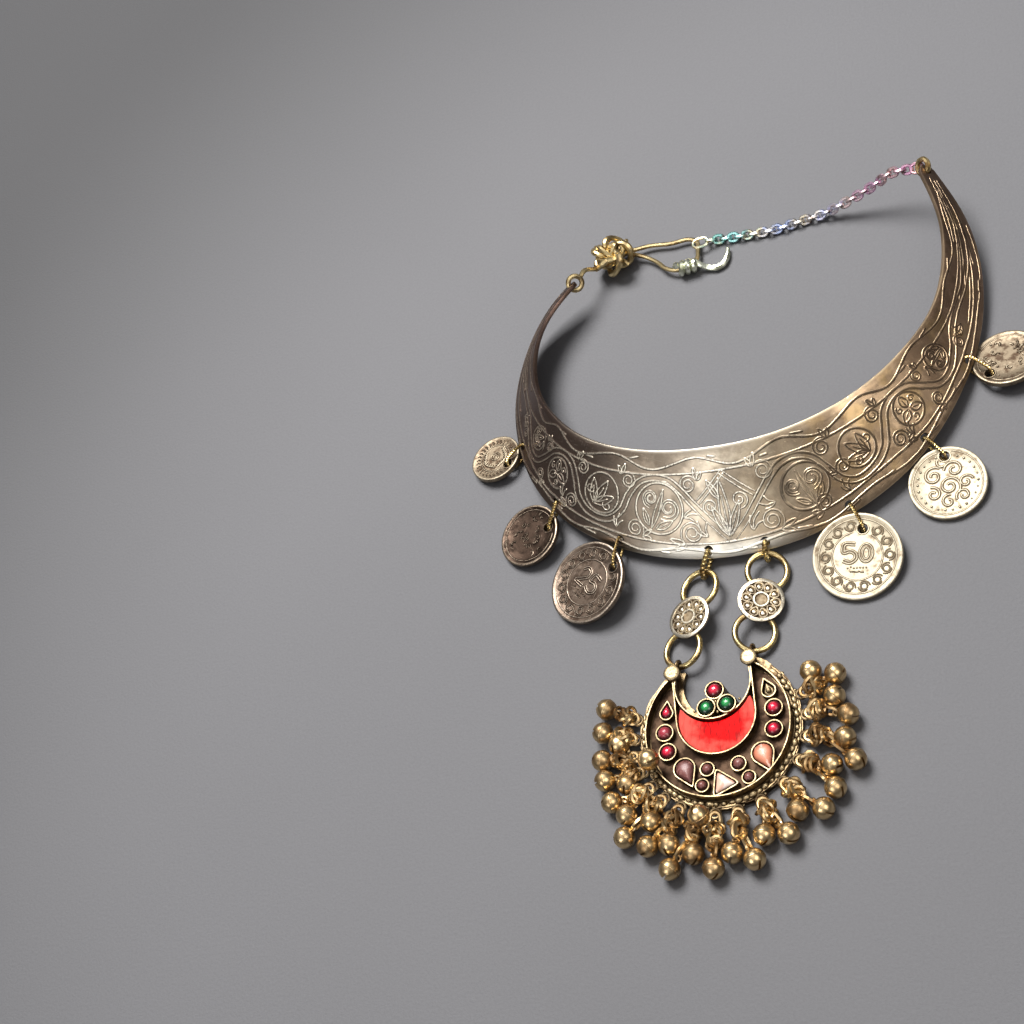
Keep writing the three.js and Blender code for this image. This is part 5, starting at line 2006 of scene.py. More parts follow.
@dataclass(frozen=True)
class Stone:
    """A stone and its setting on the pendant.

    Args:
        node: The CAD node that it stands for.
        x: Its middle, across the pendant.
        y: Its middle, along the pendant.
        radius: Its radius.
        slot: The record's slot that its finish comes from.
        cut: Its outline.
        point: The bearing of its point or first corner.
        raised: True for a stone of the trio in the bay, set higher.
    """

    node: str
    x: float
    y: float
    radius: float
    slot: Slot
    cut: Cut = Cut.ROUND
    point: float = 0.0
    raised: bool = False

    def outline(self, margin: float) -> Path:
        """The stone's outline about its own middle, grown by a margin.

        Args:
            margin: How far it is grown.

        Returns:
            The outline, anticlockwise.
        """
        if self.cut is Cut.ROUND:
            return circle_points(self.radius + margin, 24)
        if self.cut is Cut.DROP:
            radius = self.radius + margin
            arc = circle_points(radius, 17, self.point + 60, 240)
            tip = bearing(self.point) * (2 * radius)
            sides = [arc[-1].lerp(tip, share) for share in (0.3, 0.6, 0.85)]
            back = [tip.lerp(arc[0], share) for share in (0.15, 0.4, 0.7)]
            return [*arc, *sides, tip * 0.97, *back]
        corners = [bearing(self.point + step) * (self.radius + 2 * margin) for step in (0, 120, 240)]
        run = []
        for index, corner in enumerate(corners):
            before, after = corners[index - 1], corners[(index + 1) % 3]
            blunt = corner.lerp(corner.lerp((before + after) / 2, 0.1), 0.7)
            run += [corner.lerp(before, 0.14), blunt, corner.lerp(after, 0.14)]
            run += [corner.lerp(after, share) for share in (0.32, 0.5, 0.68)]
        return run


STONES = (
    Stone("stone_bay_top", 0.4, 8.8, 1.8, Slot.RED, raised=True),
    Stone("stone_bay_left", -2.05, 4.75, 1.8, Slot.GREEN, raised=True),
    Stone("stone_bay_right", 3.0, 4.8, 1.8, Slot.GREEN, raised=True),
    Stone("stone_right_1", 13.1, 6.6, 1.3, Slot.PENDANT, Cut.DROP, 105),
    Stone("stone_right_2", 13.8, 2.0, 1.7, Slot.RED),
    Stone("stone_right_3", 13.2, -3.3, 1.7, Slot.RED),
    Stone("stone_right_4", 9.9, -8.7, 2.3, Slot.ORANGE, Cut.DROP, -72),
    Stone("stone_foot_1", 3.9, -10.2, 1.4, Slot.MAUVE),
    Stone("stone_foot_2", 6.0, -14.0, 1.2, Slot.MAUVE),
    Stone("stone_foot_3", -0.3, -14.2, 3.3, Slot.PALE, Cut.TRIANGLE, 110),
    Stone("stone_foot_4", -3.7, -10.1, 1.3, Slot.MAUVE),
    Stone("stone_foot_5", -5.3, -13.9, 1.2, Slot.MAUVE),
    Stone("stone_left_4", -9.2, -8.9, 2.2, Slot.MAUVE, Cut.DROP, -72),
    Stone("stone_left_3", -12.9, -3.9, 1.7, Slot.RED),
    Stone("stone_left_2", -13.2, 1.1, 1.7, Slot.DARK_RED),
    Stone("stone_left_1", -12.3, 6.0, 1.2, Slot.RED, Cut.DROP, 80),
)


@dataclass(frozen=True)
class Cluster:
    """A cluster of bells: the bearing of its eye on the rim, the spot where its links part, and
    its bells as bearings, reaches and heights."""

    eye: float
    knot: Spot
    bells: tuple[tuple[float, ...], ...]


CLUSTERS = (
    Cluster(103, (103, 24.8), ((112, 25.4), (104.5, 30.2))),
    Cluster(88, (89, 24.6), ((94, 28.4), (84, 31.0))),
    Cluster(73, (74, 25.0), ((73.5, 30.6), (65, 34.2))),
    Cluster(57, (57, 25.0), ((60, 29.4), (51.5, 32.6))),
    Cluster(40, (40, 25.2), ((42, 33.2), (34, 29.0))),
    Cluster(22, (22, 25.0), ((25, 32.0), (15.5, 29.4))),
    Cluster(6, (5, 25.4), ((8.5, 34.0), (0, 31.2))),
    Cluster(-9, (-8, 27.6), ((-8, 34.4), (-14, 23.5, 7.6))),
    Cluster(-21, (-19, 26.0), ((-17, 31.2), (-25, 35.8))),
    Cluster(-33, (-33, 25.4), ((-29, 30.4), (-37.5, 32.8))),
    Cluster(-46, (-47, 24.6), ((-42.5, 27.4), (-48, 34.2))),
    Cluster(-58, (-58, 25.0), ((-54.5, 30.0), (-64, 31.0))),
    Cluster(-70, (-71.5, 24.2), ((-67.5, 25.6), (-75, 30.2))),
    Cluster(-82, (-82, 24.6), ((-85, 29.6), (-68, 17.8, 7.4))),
    Cluster(-94, (-95.5, 24.2), ((-91.5, 25.0), (-99, 29.2))),
    Cluster(-108, (-109, 24.4), ((-111, 29.4),)),
)


@dataclass(frozen=True)
class Pendant:
    """The crescent pendant: a plate with cells of wire, stones and glass, and its rim of grains.

    Args:
        x: Its middle, across.
        y: Its middle, along.
        turn: How far it is turned, in degrees.
        plate_radius: The plate's radius.
        plate_top: The height at which the plate is cut off straight.
        plate: The plate's thickness.
        body_radius: Outer radius of the wall round the cells.
        wall_height: The top of the walls.
        wall_gauge: The thickness of a wall.
        bay_y: The bay's middle.
        bay_radius: The bay's radius.
        window_y: The glass window's middle.
        window_radius: The window's radius.
        bezel_height: The top of a stone's setting.
        trio_height: The top of the trio's settings.
        rise: How far a stone stands over its setting.
        grain_reach: The reach of the rim of grains.
        horn_x: A horn's distance from the middle.
        horn_y: A horn's height along the pendant.
        horn_eye: From a horn's middle to its eye's.
        eye_reach: The reach of the eyes that the bells hang from.
    """

    x: float = -3.4
    y: float = -114.4
    turn: float = 6.0
    plate_radius: float = 19.9
    plate_top: float = 17.0
    plate: float = 1.5
    body_radius: float = 17.9
    wall_height: float = 4.4
    wall_gauge: float = 0.8
    bay_y: float = 11.3
    bay_radius: float = 9.2
    window_y: float = 2.6
    window_radius: float = 9.5
    bezel_height: float = 3.4
    trio_height: float = 4.8
    rise: float = 0.9
    grain_reach: float = 18.75
    horn_x: float = 9.6
    horn_y: float = 15.5
    horn_eye: float = 2.6
    eye_reach: float = 20.95

    def place(self) -> Matrix:
        """From the pendant's own frame to the bench."""
        return moved(self.x, self.y) @ turned(self.turn)

    def spot(self, angle: float, reach: float, z: float = 0.0) -> Vector:
        """A place by its bearing from the pendant's foot, positive to the right, and its reach."""
        turn = math.radians(angle)
        return Vector((reach * math.sin(turn), -reach * math.cos(turn), z))

    def foot_arc(self, radius: float, past: float, step: int, y: float = 0.0) -> Path:
        """An arc under the pendant's middle that goes on past level by some degrees at both ends."""
        middle = Vector((0, y, 0))
        return [middle + bearing(angle) * radius for angle in range(round(180 - past), round(361 + past), step)]

    def half_wall(self) -> float:
        """Half the thickness of a wall's strip."""
        return 0.55 * self.wall_gauge / 2

    def strip(self, work: Workpiece, points: Path) -> None:
        """Stands a wall's strip on its edge along an open run, with a rounded lip.

        Args:
            work: The piece in the making.
            points: The run that it follows.
        """
        half, low, high = self.half_wall(), 0.6, self.wall_height
        lip = high - 0.18
        profile = ((-half, low), (half, low), (half, lip), (0.55 * half, high), (-0.55 * half, high), (-half, lip))
        sections = swept(path_frames(points, False, [UP] * len(points)), profile)
        # painted light: the wall's lip gets a light relief as a highlight and its foot a dark one as shade
        work.add(loft(sections, relief=(-0.6, -0.6, 0.1, 0.7, 0.7, 0.1)))

    def plate_part(self) -> Shape:
        """The plate: a disc cut off straight behind the horns, with the bay let into it.

        Returns:
            The plate as a bmesh.
        """
        reach, bay, middle = self.plate_radius, 9.0, Vector((1.0, 12.0, 0.0))
        past = degrees_up(self.plate_top, reach)
        edge = [bearing(angle) * (reach + 0.12 * math.sin(0.31 * angle))
                for angle in range(round(180 - past), round(361 + past), 4)]
        past = degrees_up(self.plate_top - middle.y, bay)
        hollow = [middle + bearing(-angle) * bay for angle in range(round(-past), round(181 + past), 9)]
        return loft([[point + UP * z for point in edge + hollow] for z in (0.0, 0.15, self.plate)])

    def cells(self, work: Workpiece) -> None:
        """Stands the walls: the outer one, the window's and the bay's.

        Args:
            work: The piece in the making.
        """
        reach = self.body_radius - self.half_wall()
        self.strip(work, self.foot_arc(reach, degrees_up(self.horn_y - 0.4, reach), 3))
        reach = self.window_radius + self.half_wall()
        for x in (-reach, reach):
            self.strip(work, spaced([Vector((x, self.horn_y - 0.6, 0)), Vector((x, self.window_y, 0))], 1.2))
        self.strip(work, self.foot_arc(reach, 0, 4, self.window_y))
        reach = self.bay_radius + self.half_wall()
        self.strip(work, self.foot_arc(reach, degrees_up(self.horn_y - 1.8 - self.bay_y, reach), 5, self.bay_y))

    def rims(self, work: Workpiece) -> None:
        """Lays the grains round the rim, and the wires on each side of them.

        Args:
            work: The piece in the making.
        """
        chance = random.Random(3)
        for reach, z, gauge in ((19.45, self.plate + 0.02, 0.34), (18.1, self.plate + 0.1, 0.3)):
            work.add(wire([self.spot(angle, reach, z) for angle in range(-134, 135, 3)], gauge, 6))
        count, end = 46, 123
        for index in range(count):
            angle = -end + 2 * end * index / (count - 1)
            radius = 0.60 + 0.32 * chance.random()
            turn, reach = angle + chance.uniform(-0.7, 0.7), self.grain_reach + chance.uniform(-0.12, 0.16)
            at = self.spot(turn, reach, self.plate + 0.28)
            stretch = Matrix.Diagonal((1.05 + 0.45 * chance.random(), 1.0, 0.85, 1.0))
            work.add(granule(radius), moved(*at) @ turned(angle) @ stretch)
            if index % 3 == 0:
                low = self.spot(angle + 1.7, 19.95, 0.9)
                work.add(granule(0.42), moved(*low))

    def bezels(self, work: Workpiece) -> None:
        """Stands a setting round each stone, and the struts and grains between them.

        Args:
            work: The piece in the making.
        """
        for stone in STONES:
            top = self.trio_height if stone.raised else self.bezel_height
            outline = stone.outline(GAP + 0.02)
            low = self.plate / 2
            profile = ((0.0, low), (0.36, low), (0.35, top - 0.9), (0.33, top - 0.16), (0.20, top),
                       (-0.04, top - 0.02), (-0.14, top - 0.22), (0.0, top - 0.5))
            # painted light: the setting's lip gets a light relief as a highlight, its foot and inside a dark one as
            # shade
            relief = (-0.8, -0.8, -0.4, 0.0, 0.75, 0.7, -0.2, -0.8)
            work.add(wall(outline, profile, relief), moved(stone.x, stone.y))
            floor = dome(stone.outline(GAP + 0.1), low, 0.02, 3, self.plate + 0.15 - low)
            work.add(floor, moved(stone.x, stone.y))
        for x, y, radius in ((0.4, 5.9, 0.42), (0.6, 3.2, 0.4), (-5.0, 4.5, 0.35), (6.2, 5.4, 0.35)):
            work.add(granule(radius), moved(x, y, self.wall_height))

    def horns(self, work: Workpiece) -> None:
        """Sets the horns' flat discs on their posts, each with its upright eye.

        Args:
            work: The piece in the making.
        """
        for side, heading in ((-1, 74.0), (1, 82.0)):
            x = side * self.horn_x
            disc = lathe([(0, 0), (1.7, 0), (2.02, 0.2), (2.05, 0.6), (1.88, 0.84), (1.2, 0.9), (0, 0.9)], 28,
                         (0, 0, 0.2, 0.6, 1.0, 0.9, 0.85))
            work.add(disc, moved(x, self.horn_y, self.wall_height))
            top = self.wall_height + 0.2
            post = lathe([(0, 0.3), (1.5, 0.3), (1.35, 2.2), (1.45, top), (0, top)], 18)
            work.add(post, moved(x, self.horn_y))
            ahead = bearing(heading - self.turn)
            middle = Vector((x, self.horn_y, 2.35)) + ahead * self.horn_eye
            axis = ahead.cross(UP)
            work.add(level_ring(1.45, 0.45, 24, 8), basis(ahead, axis.cross(ahead), axis, middle))

    def eyes(self, work: Workpiece) -> None:
        """Solders the eyes for the bells along the rim.

        Args:
            work: The piece in the making.
        """
        for cluster in CLUSTERS:
            middle = self.spot(cluster.eye, self.eye_reach, 1.62)
            work.add(level_ring(1.2, 0.38, 18, 7), moved(*middle))

    def build(self, metal: Material) -> Piece:
        """The metal of the pendant as one piece.

        Args:
            metal: Its finish.

        Returns:
            The finished object.
        """
        work = Workpiece("pendant_setting", self.place())
        work.add(self.plate_part())
        self.cells(work)
        self.rims(work)
        self.bezels(work)
        self.horns(work)
        self.eyes(work)
        return work.finish(metal, Slot.PENDANT, "pendant_frame", crease=50)

    def build_ground(self, dark: Material) -> Piece:
        """The dark cement that the settings stand in, between the walls.

        Args:
            dark: Its finish.

        Returns:
            The finished object.
        """
        work = Workpiece("pendant_cement", self.place())
        reach = self.body_radius - self.wall_gauge + 0.05
        bay = self.bay_radius + self.wall_gauge / 2
        outer = self.foot_arc(reach, degrees_up(self.horn_y - 3.0, reach), 4)
        inner = [Vector((0, self.bay_y, 0)) + bearing(angle) * bay for angle in range(40, -221, -8)]
        outline = outer + [point for point in inner if point.y < self.horn_y - 2.2]
        work.add(loft([[point + UP * z for point in outline] for z in (self.plate - 0.2, self.plate + 0.42)]))
        return work.finish(dark, Slot.PENDANT)

    def build_stone(self, stone: Stone, material: Material) -> Piece:
        """A stone in its setting.

        Args:
            stone: The stone.
            material: Its finish.

        Returns:
            The finished object.
        """
        work = Workpiece(f"set_{stone.node}", self.place() @ moved(stone.x, stone.y))
        top = self.trio_height if stone.raised else self.bezel_height
        base = self.plate + 0.15 + GAP
        straight = top - 0.35 - base
        if stone.slot is Slot.PENDANT:  # the drop of metal
            work.add(dome(stone.outline(-0.02), base, 0.35, 5, straight - 0.6))
            work.add(granule(0.72, 2), moved(0, 0, top - 0.3))
        else:
            flat = stone.cut is not Cut.ROUND
            height = self.rise + 0.25 - (0.35 if flat else 0.0)
            work.add(dome(stone.outline(-0.02), base, height, 8, straight))
        return work.finish(material, stone.slot, stone.node, crease=60)

    def build_glass(self, material: Material) -> Piece:
        """The crescent of glass in the window.

        Args:
            material: Its finish.

        Returns:
            The finished object.
        """
        work = Workpiece("crescent_pane", self.place())
        reach = self.window_radius - GAP / 2
        bay = self.bay_radius + self.wall_gauge + GAP / 2
        apart = self.bay_y - self.window_y
        height = (apart * apart + reach ** 2 - bay ** 2) / (2 * apart)
        side = math.sqrt(reach ** 2 - height * height)
        start = math.degrees(math.atan2(height, side))
        low = math.degrees(math.atan2(height - apart, side))
        foot, hollow = Vector((0, self.window_y, 0)), Vector((0, self.bay_y, 0))
        outer = [foot + bearing(start - (180 + 2 * start) * index / 36) * reach for index in range(37)]
        inner = [hollow + bearing(-180 - low + (180 + 2 * low) * index / 26) * bay for index in range(1, 26)]
        outline = (outer + inner)[::-1]
        middle = Vector((0, self.window_y - 3.6, 0))
        base, top = self.plate + GAP, self.wall_height - 0.6
        sections = [[point + UP * base for point in outline], [point + UP * (top - 0.12) for point in outline]]
        for inset, rise in ((0.25, 0.02), (0.7, 0.06), (1.3, 0.09)):
            ways = [middle - point for point in outline]
            sections.append([point + way.normalized() * min(inset, 0.5 * way.length) * 0.5 + UP * (top + rise)
                             for point, way in zip(outline, ways)])
        work.add(loft(sections))
        return work.finish(material, Slot.GLASS, "crescent_glass", crease=3)


@dataclass
class Bells:
    """The pendant's bells, which hang in clusters on oval links from the rim's eyes.

    Args:
        pendant: The pendant that they hang from.
        radius: A bell's radius.
        gauge: Radius of a link's wire.
        knot_z: Height of the spot where a cluster's links part.
        link_length: The length wanted for a link to a bell.
    """

    pendant: Pendant
    radius: float = 2.7
    gauge: float = 0.5
    knot_z: float = 2.1
    link_length: float = 3.3

    def bell(self) -> Shape:
        """One bell: two cups pressed together at a seam, slit at its foot, with a loop on its crown.

        Returns:
            The bell as a bmesh.
        """
        radius = self.radius
        lip = ((0.995, 0.10), (1.012, 0.05), (1.012, -0.03), (0.982, -0.06))
        profile = [(0.0, radius * 0.985)]
        profile += [(p.x, p.y) for p in (bearing(angle) * (radius * 0.985) for angle in (76, 62, 47, 31, 16, 6))]
        profile += [(radius * out - 0.02, z * 1.6) for out, z in lip]
        profile += [(p.x, p.y) for p in (bearing(angle) * (radius * 0.965) for angle in (-12, -27, -43, -58, -74))]
        profile += [(0.0, -radius * 0.965)]
        relief = [0.4, *[0.3] * 6, 0.3, 0.5, 0.5, -0.9, *[0.3] * 5, 0.4]
        work = Workpiece("bell")
        work.add(lathe(profile, 22, relief))
        slit = Workpiece("slit")
        bar = bmesh.new()
        bmesh.ops.create_cube(bar, size=1.0)
        slit.add(bar, moved(0, 0, -radius) @ Matrix.Diagonal((0.5, 2.5 * radius, 2.0, 1.0)))
        work.cut(slit)
        work.add(level_ring(0.75, 0.3, 14, 6), moved(0, 0, radius + 0.35) @ turned(90, "X"))
        return work.body

    def link(self, work: Workpiece, start: Vector, end: Vector, roll: float, half_width: float) -> None:
        """Adds an oval link rolled about its own length."""
        side = sideways((end - start).normalized(), roll)
        work.add(ring_between(start, end, half_width, self.gauge * 0.95, side, 12, 5))

    def build(self, index: int, cluster: Cluster, bell: Shape, material: Material) -> Piece:
        """One cluster of bells and its links.

        Args:
            index: The cluster's number, from 1.
            cluster: Its places.
            bell: The bell that is copied.
            material: Its finish.

        Returns:
            The finished object.
        """
        chance = random.Random(40 + index)
        work = Workpiece(f"belled_cluster_{index}", self.pendant.place())
        knot = self.pendant.spot(*cluster.knot, self.knot_z)
        start = self.pendant.spot(cluster.eye, self.pendant.eye_reach - 0.15, 1.9)
        ahead = (knot - start).normalized()
        work.add(ring_between(start, knot + ahead * 0.3, 1.35, self.gauge, ahead.cross(UP), 20, 7))
        for turn, lift in ((-38, 0.9), (34, 1.4), (-75, 0.4), (70, 0.7)):
            way = turned(turn) @ (ahead * 1.75)
            spot = start.lerp(knot, 0.55) + way * 0.5 + UP * lift
            self.link(work, spot - way, spot + way, chance.uniform(30, 75), 1.2)
        for place in cluster.bells:
            angle, reach, height = (*place, self.radius + 0.05)[:3]
            middle = self.pendant.spot(angle, reach, height)
            away = (middle - knot).normalized()
            crown = middle - away * (self.radius + 0.55)
            begin = knot - away * 0.7
            count = max(1, round((crown - begin).length / self.link_length))
            tilt = chance.uniform(20, 60)
            for step in range(count):
                first = begin.lerp(crown, step / count) - away * (0.35 if step else 0.0)
                last = begin.lerp(crown, (step + 1) / count) + away * 0.5
                self.link(work, first, last, tilt + (70 if step % 2 else 0), 1.05)
            loose = knot + self.pendant.spot(angle, 1.0) * 0.6
            bearings = [chance.uniform(*between) for between in ((20, 70), (100, 160), (70, 110))]
            for turn, lift in zip(bearings, (0.9, 0.2, 1.5)):
                way = bearing(turn) * chance.uniform(1.4, 1.9)
                spot = loose + away * chance.uniform(-1.6, 0.6) + UP * lift
                self.link(work, spot - way, spot + way, chance.uniform(35, 80), 1.25)
            lift = away.cross(UP).normalized()
            spin_at = Matrix.Rotation(math.radians(chance.uniform(-60, 60)), 3, away)
            work.add(bell, basis(spin_at @ lift, spin_at @ (-away).cross(lift), -away, middle), keep=True)
        return work.finish(material, Slot.BELL, f"bell_cluster_{index}", crease=45)


# The hangers ----------------------------------------------------------------------------------


@dataclass(frozen=True)
class Hanger:
    """A hanger: two rings soldered under a rosette, and the oval ring that holds it to the collar.

    Args:
        side: Which side it is on.
        horn: Which horn it hangs the pendant by, -1 or 1.
        horn_bearing: The bearing from the horn to its near ring's middle.
        bearing: The bearing along the link.
        roll: How far it is rolled about its length, in degrees.
        hole_turn: The turn of the collar's hole that it hangs from.
        ring_radius: Mean radius of its rings.
        gauge: Radius of its wire.
        spacing: Between the middles of its rings.
        rosette: The rosette's radius.
        petals: The rosette's petals.
        z: The height of its middle.
        oval_half_width: Half the oval ring's width.
        strand: Radius of each of the oval ring's two strands.
        lay: From their common middle line to a strand's.
        twists: How often the strands go round each other.
        oval_z: The height of the oval ring's ends.
    """

    side: str
    horn: int
    horn_bearing: float
    bearing: float
    roll: float
    hole_turn: float
    ring_radius: float = 4.85
    gauge: float = 0.76
    spacing: float = 16.4
    rosette: float = 5.7
    petals: int = 10
    z: float = 2.4
    oval_half_width: float = 1.8
    strand: float = 0.38
    lay: float = 0.36
    twists: int = 8
    oval_z: float = 2.55

    def near_ring(self, pendant: Pendant) -> Vector:
        """The middle of the ring that holds the pendant's horn."""
        spot = pendant.place() @ Vector((self.horn * pendant.horn_x, pendant.horn_y, 0.0))
        return spot + bearing(self.horn_bearing) * (pendant.horn_eye + self.ring_radius)

    def rosette_parts(self, work: Workpiece) -> None:
        """Adds the rosette: a disc sunk within its rim, its looped petals and its ringed boss.

        Args:
            work: The piece in the making.
        """
        reach, low, high = self.rosette, self.gauge - 0.25, self.gauge + 0.5
        disc = [(0, low), (reach - 0.12, low), (reach, low + 0.12), (reach, high - 0.12), (reach - 0.14, high),
                (reach - 0.85, high + 0.04), (reach - 1.0, high - 0.12), (reach - 1.15, high - 0.34),
                (2.1, high - 0.34), (0, high - 0.34)]
        work.add(lathe(disc, 48, (0, 0, 0, 0.3, 0.9, 0.7, -0.4, -1.0, -1.0, -1.0)))
        for index in range(self.petals):
            at = turned(360 * (index + 0.5) / self.petals) @ moved(3.45, 0, high - 0.12)
            loop = [Vector((1.15 * p.x, 0.95 * p.y * (1 + 0.3 * p.x), 0.0)) for p in circle_points(1.0, 16)]
            work.add(wire(loop, 0.26, 6, closed=True, lifts=[UP] * 16), at)
            work.add(dome([0.62 * point for point in loop], -0.3, 0.34, 4, 0.18), at)
        boss = [(0, high - 0.4), (2.3, high - 0.4), (2.2, high + 0.1), (1.95, high + 0.42), (1.6, high + 0.42),
                (1.35, high + 0.1), (0, high + 0.04)]
        work.add(lathe(boss, 32, (0.0, -0.8, 0.5, 0.95, 0.95, -0.6, -0.4)))

    def build(self, pendant: Pendant, brass: Material, silvered: Material) -> None:
        """Builds the link's two rings and the rosette on them.

        Args:
            pendant: The pendant that it carries.
            brass: The finish of its rings.
            silvered: The finish of its rosette.
        """
        middle = self.near_ring(pendant) + bearing(self.bearing) * (self.spacing / 2)
        place = moved(middle.x, middle.y, self.z) @ turned(self.bearing) @ turned(self.roll, "X")
        work = Workpiece(f"hanger_rings_{self.side}", place)
        for end in (-1, 1):
            ring = level_ring(self.ring_radius, self.gauge, 44, 10)
            work.add(ring, moved(end * self.spacing / 2, 0) @ turned(3.0 * end))
        work.finish(brass, Slot.RING, f"hanger_link_{self.side}", crease=45)
        flower = Workpiece(f"rosette_{self.side}", place)
        self.rosette_parts(flower)
        flower.finish(silvered, Slot.RING, crease=45)

    def build_ring(self, pendant: Pendant, collar: Collar, material: Material) -> Piece:
        """The oval ring from the collar's hole round the link's far ring.

        Args:
            pendant: The pendant that it carries.
            collar: The collar that it hangs from.
            material: Its finish.

        Returns:
            The finished object.
        """
        hole = collar.hole_point(self.hole_turn, collar.hole_inset)
        far_ring = self.near_ring(pendant) + bearing(self.bearing) * self.spacing
        to_hole = hole - far_ring
        to_hole.z = 0.0
        to_hole.normalize()
        near = far_ring + to_hole * (self.ring_radius - self.gauge - GAP - 0.5)
        far = hole + to_hole * 0.3
        near.z = far.z = self.oval_z
        work = Workpiece(f"oval_ring_{self.side}")
        ahead = (far - near).normalized()
        side = ahead.cross(UP).cross(ahead)
        twisted_oval(work, near, far, side, self.oval_half_width, self.strand, self.lay, self.twists)
        return work.finish(material, Slot.RING, f"hanger_ring_{self.side}")


HANGERS = (Hanger("left", -1, 74, 75.5, -16, -5.5), Hanger("right", 1, 82, 78.5, 15, 8.5))


# The clasp ------------------------------------------------------------------------------------


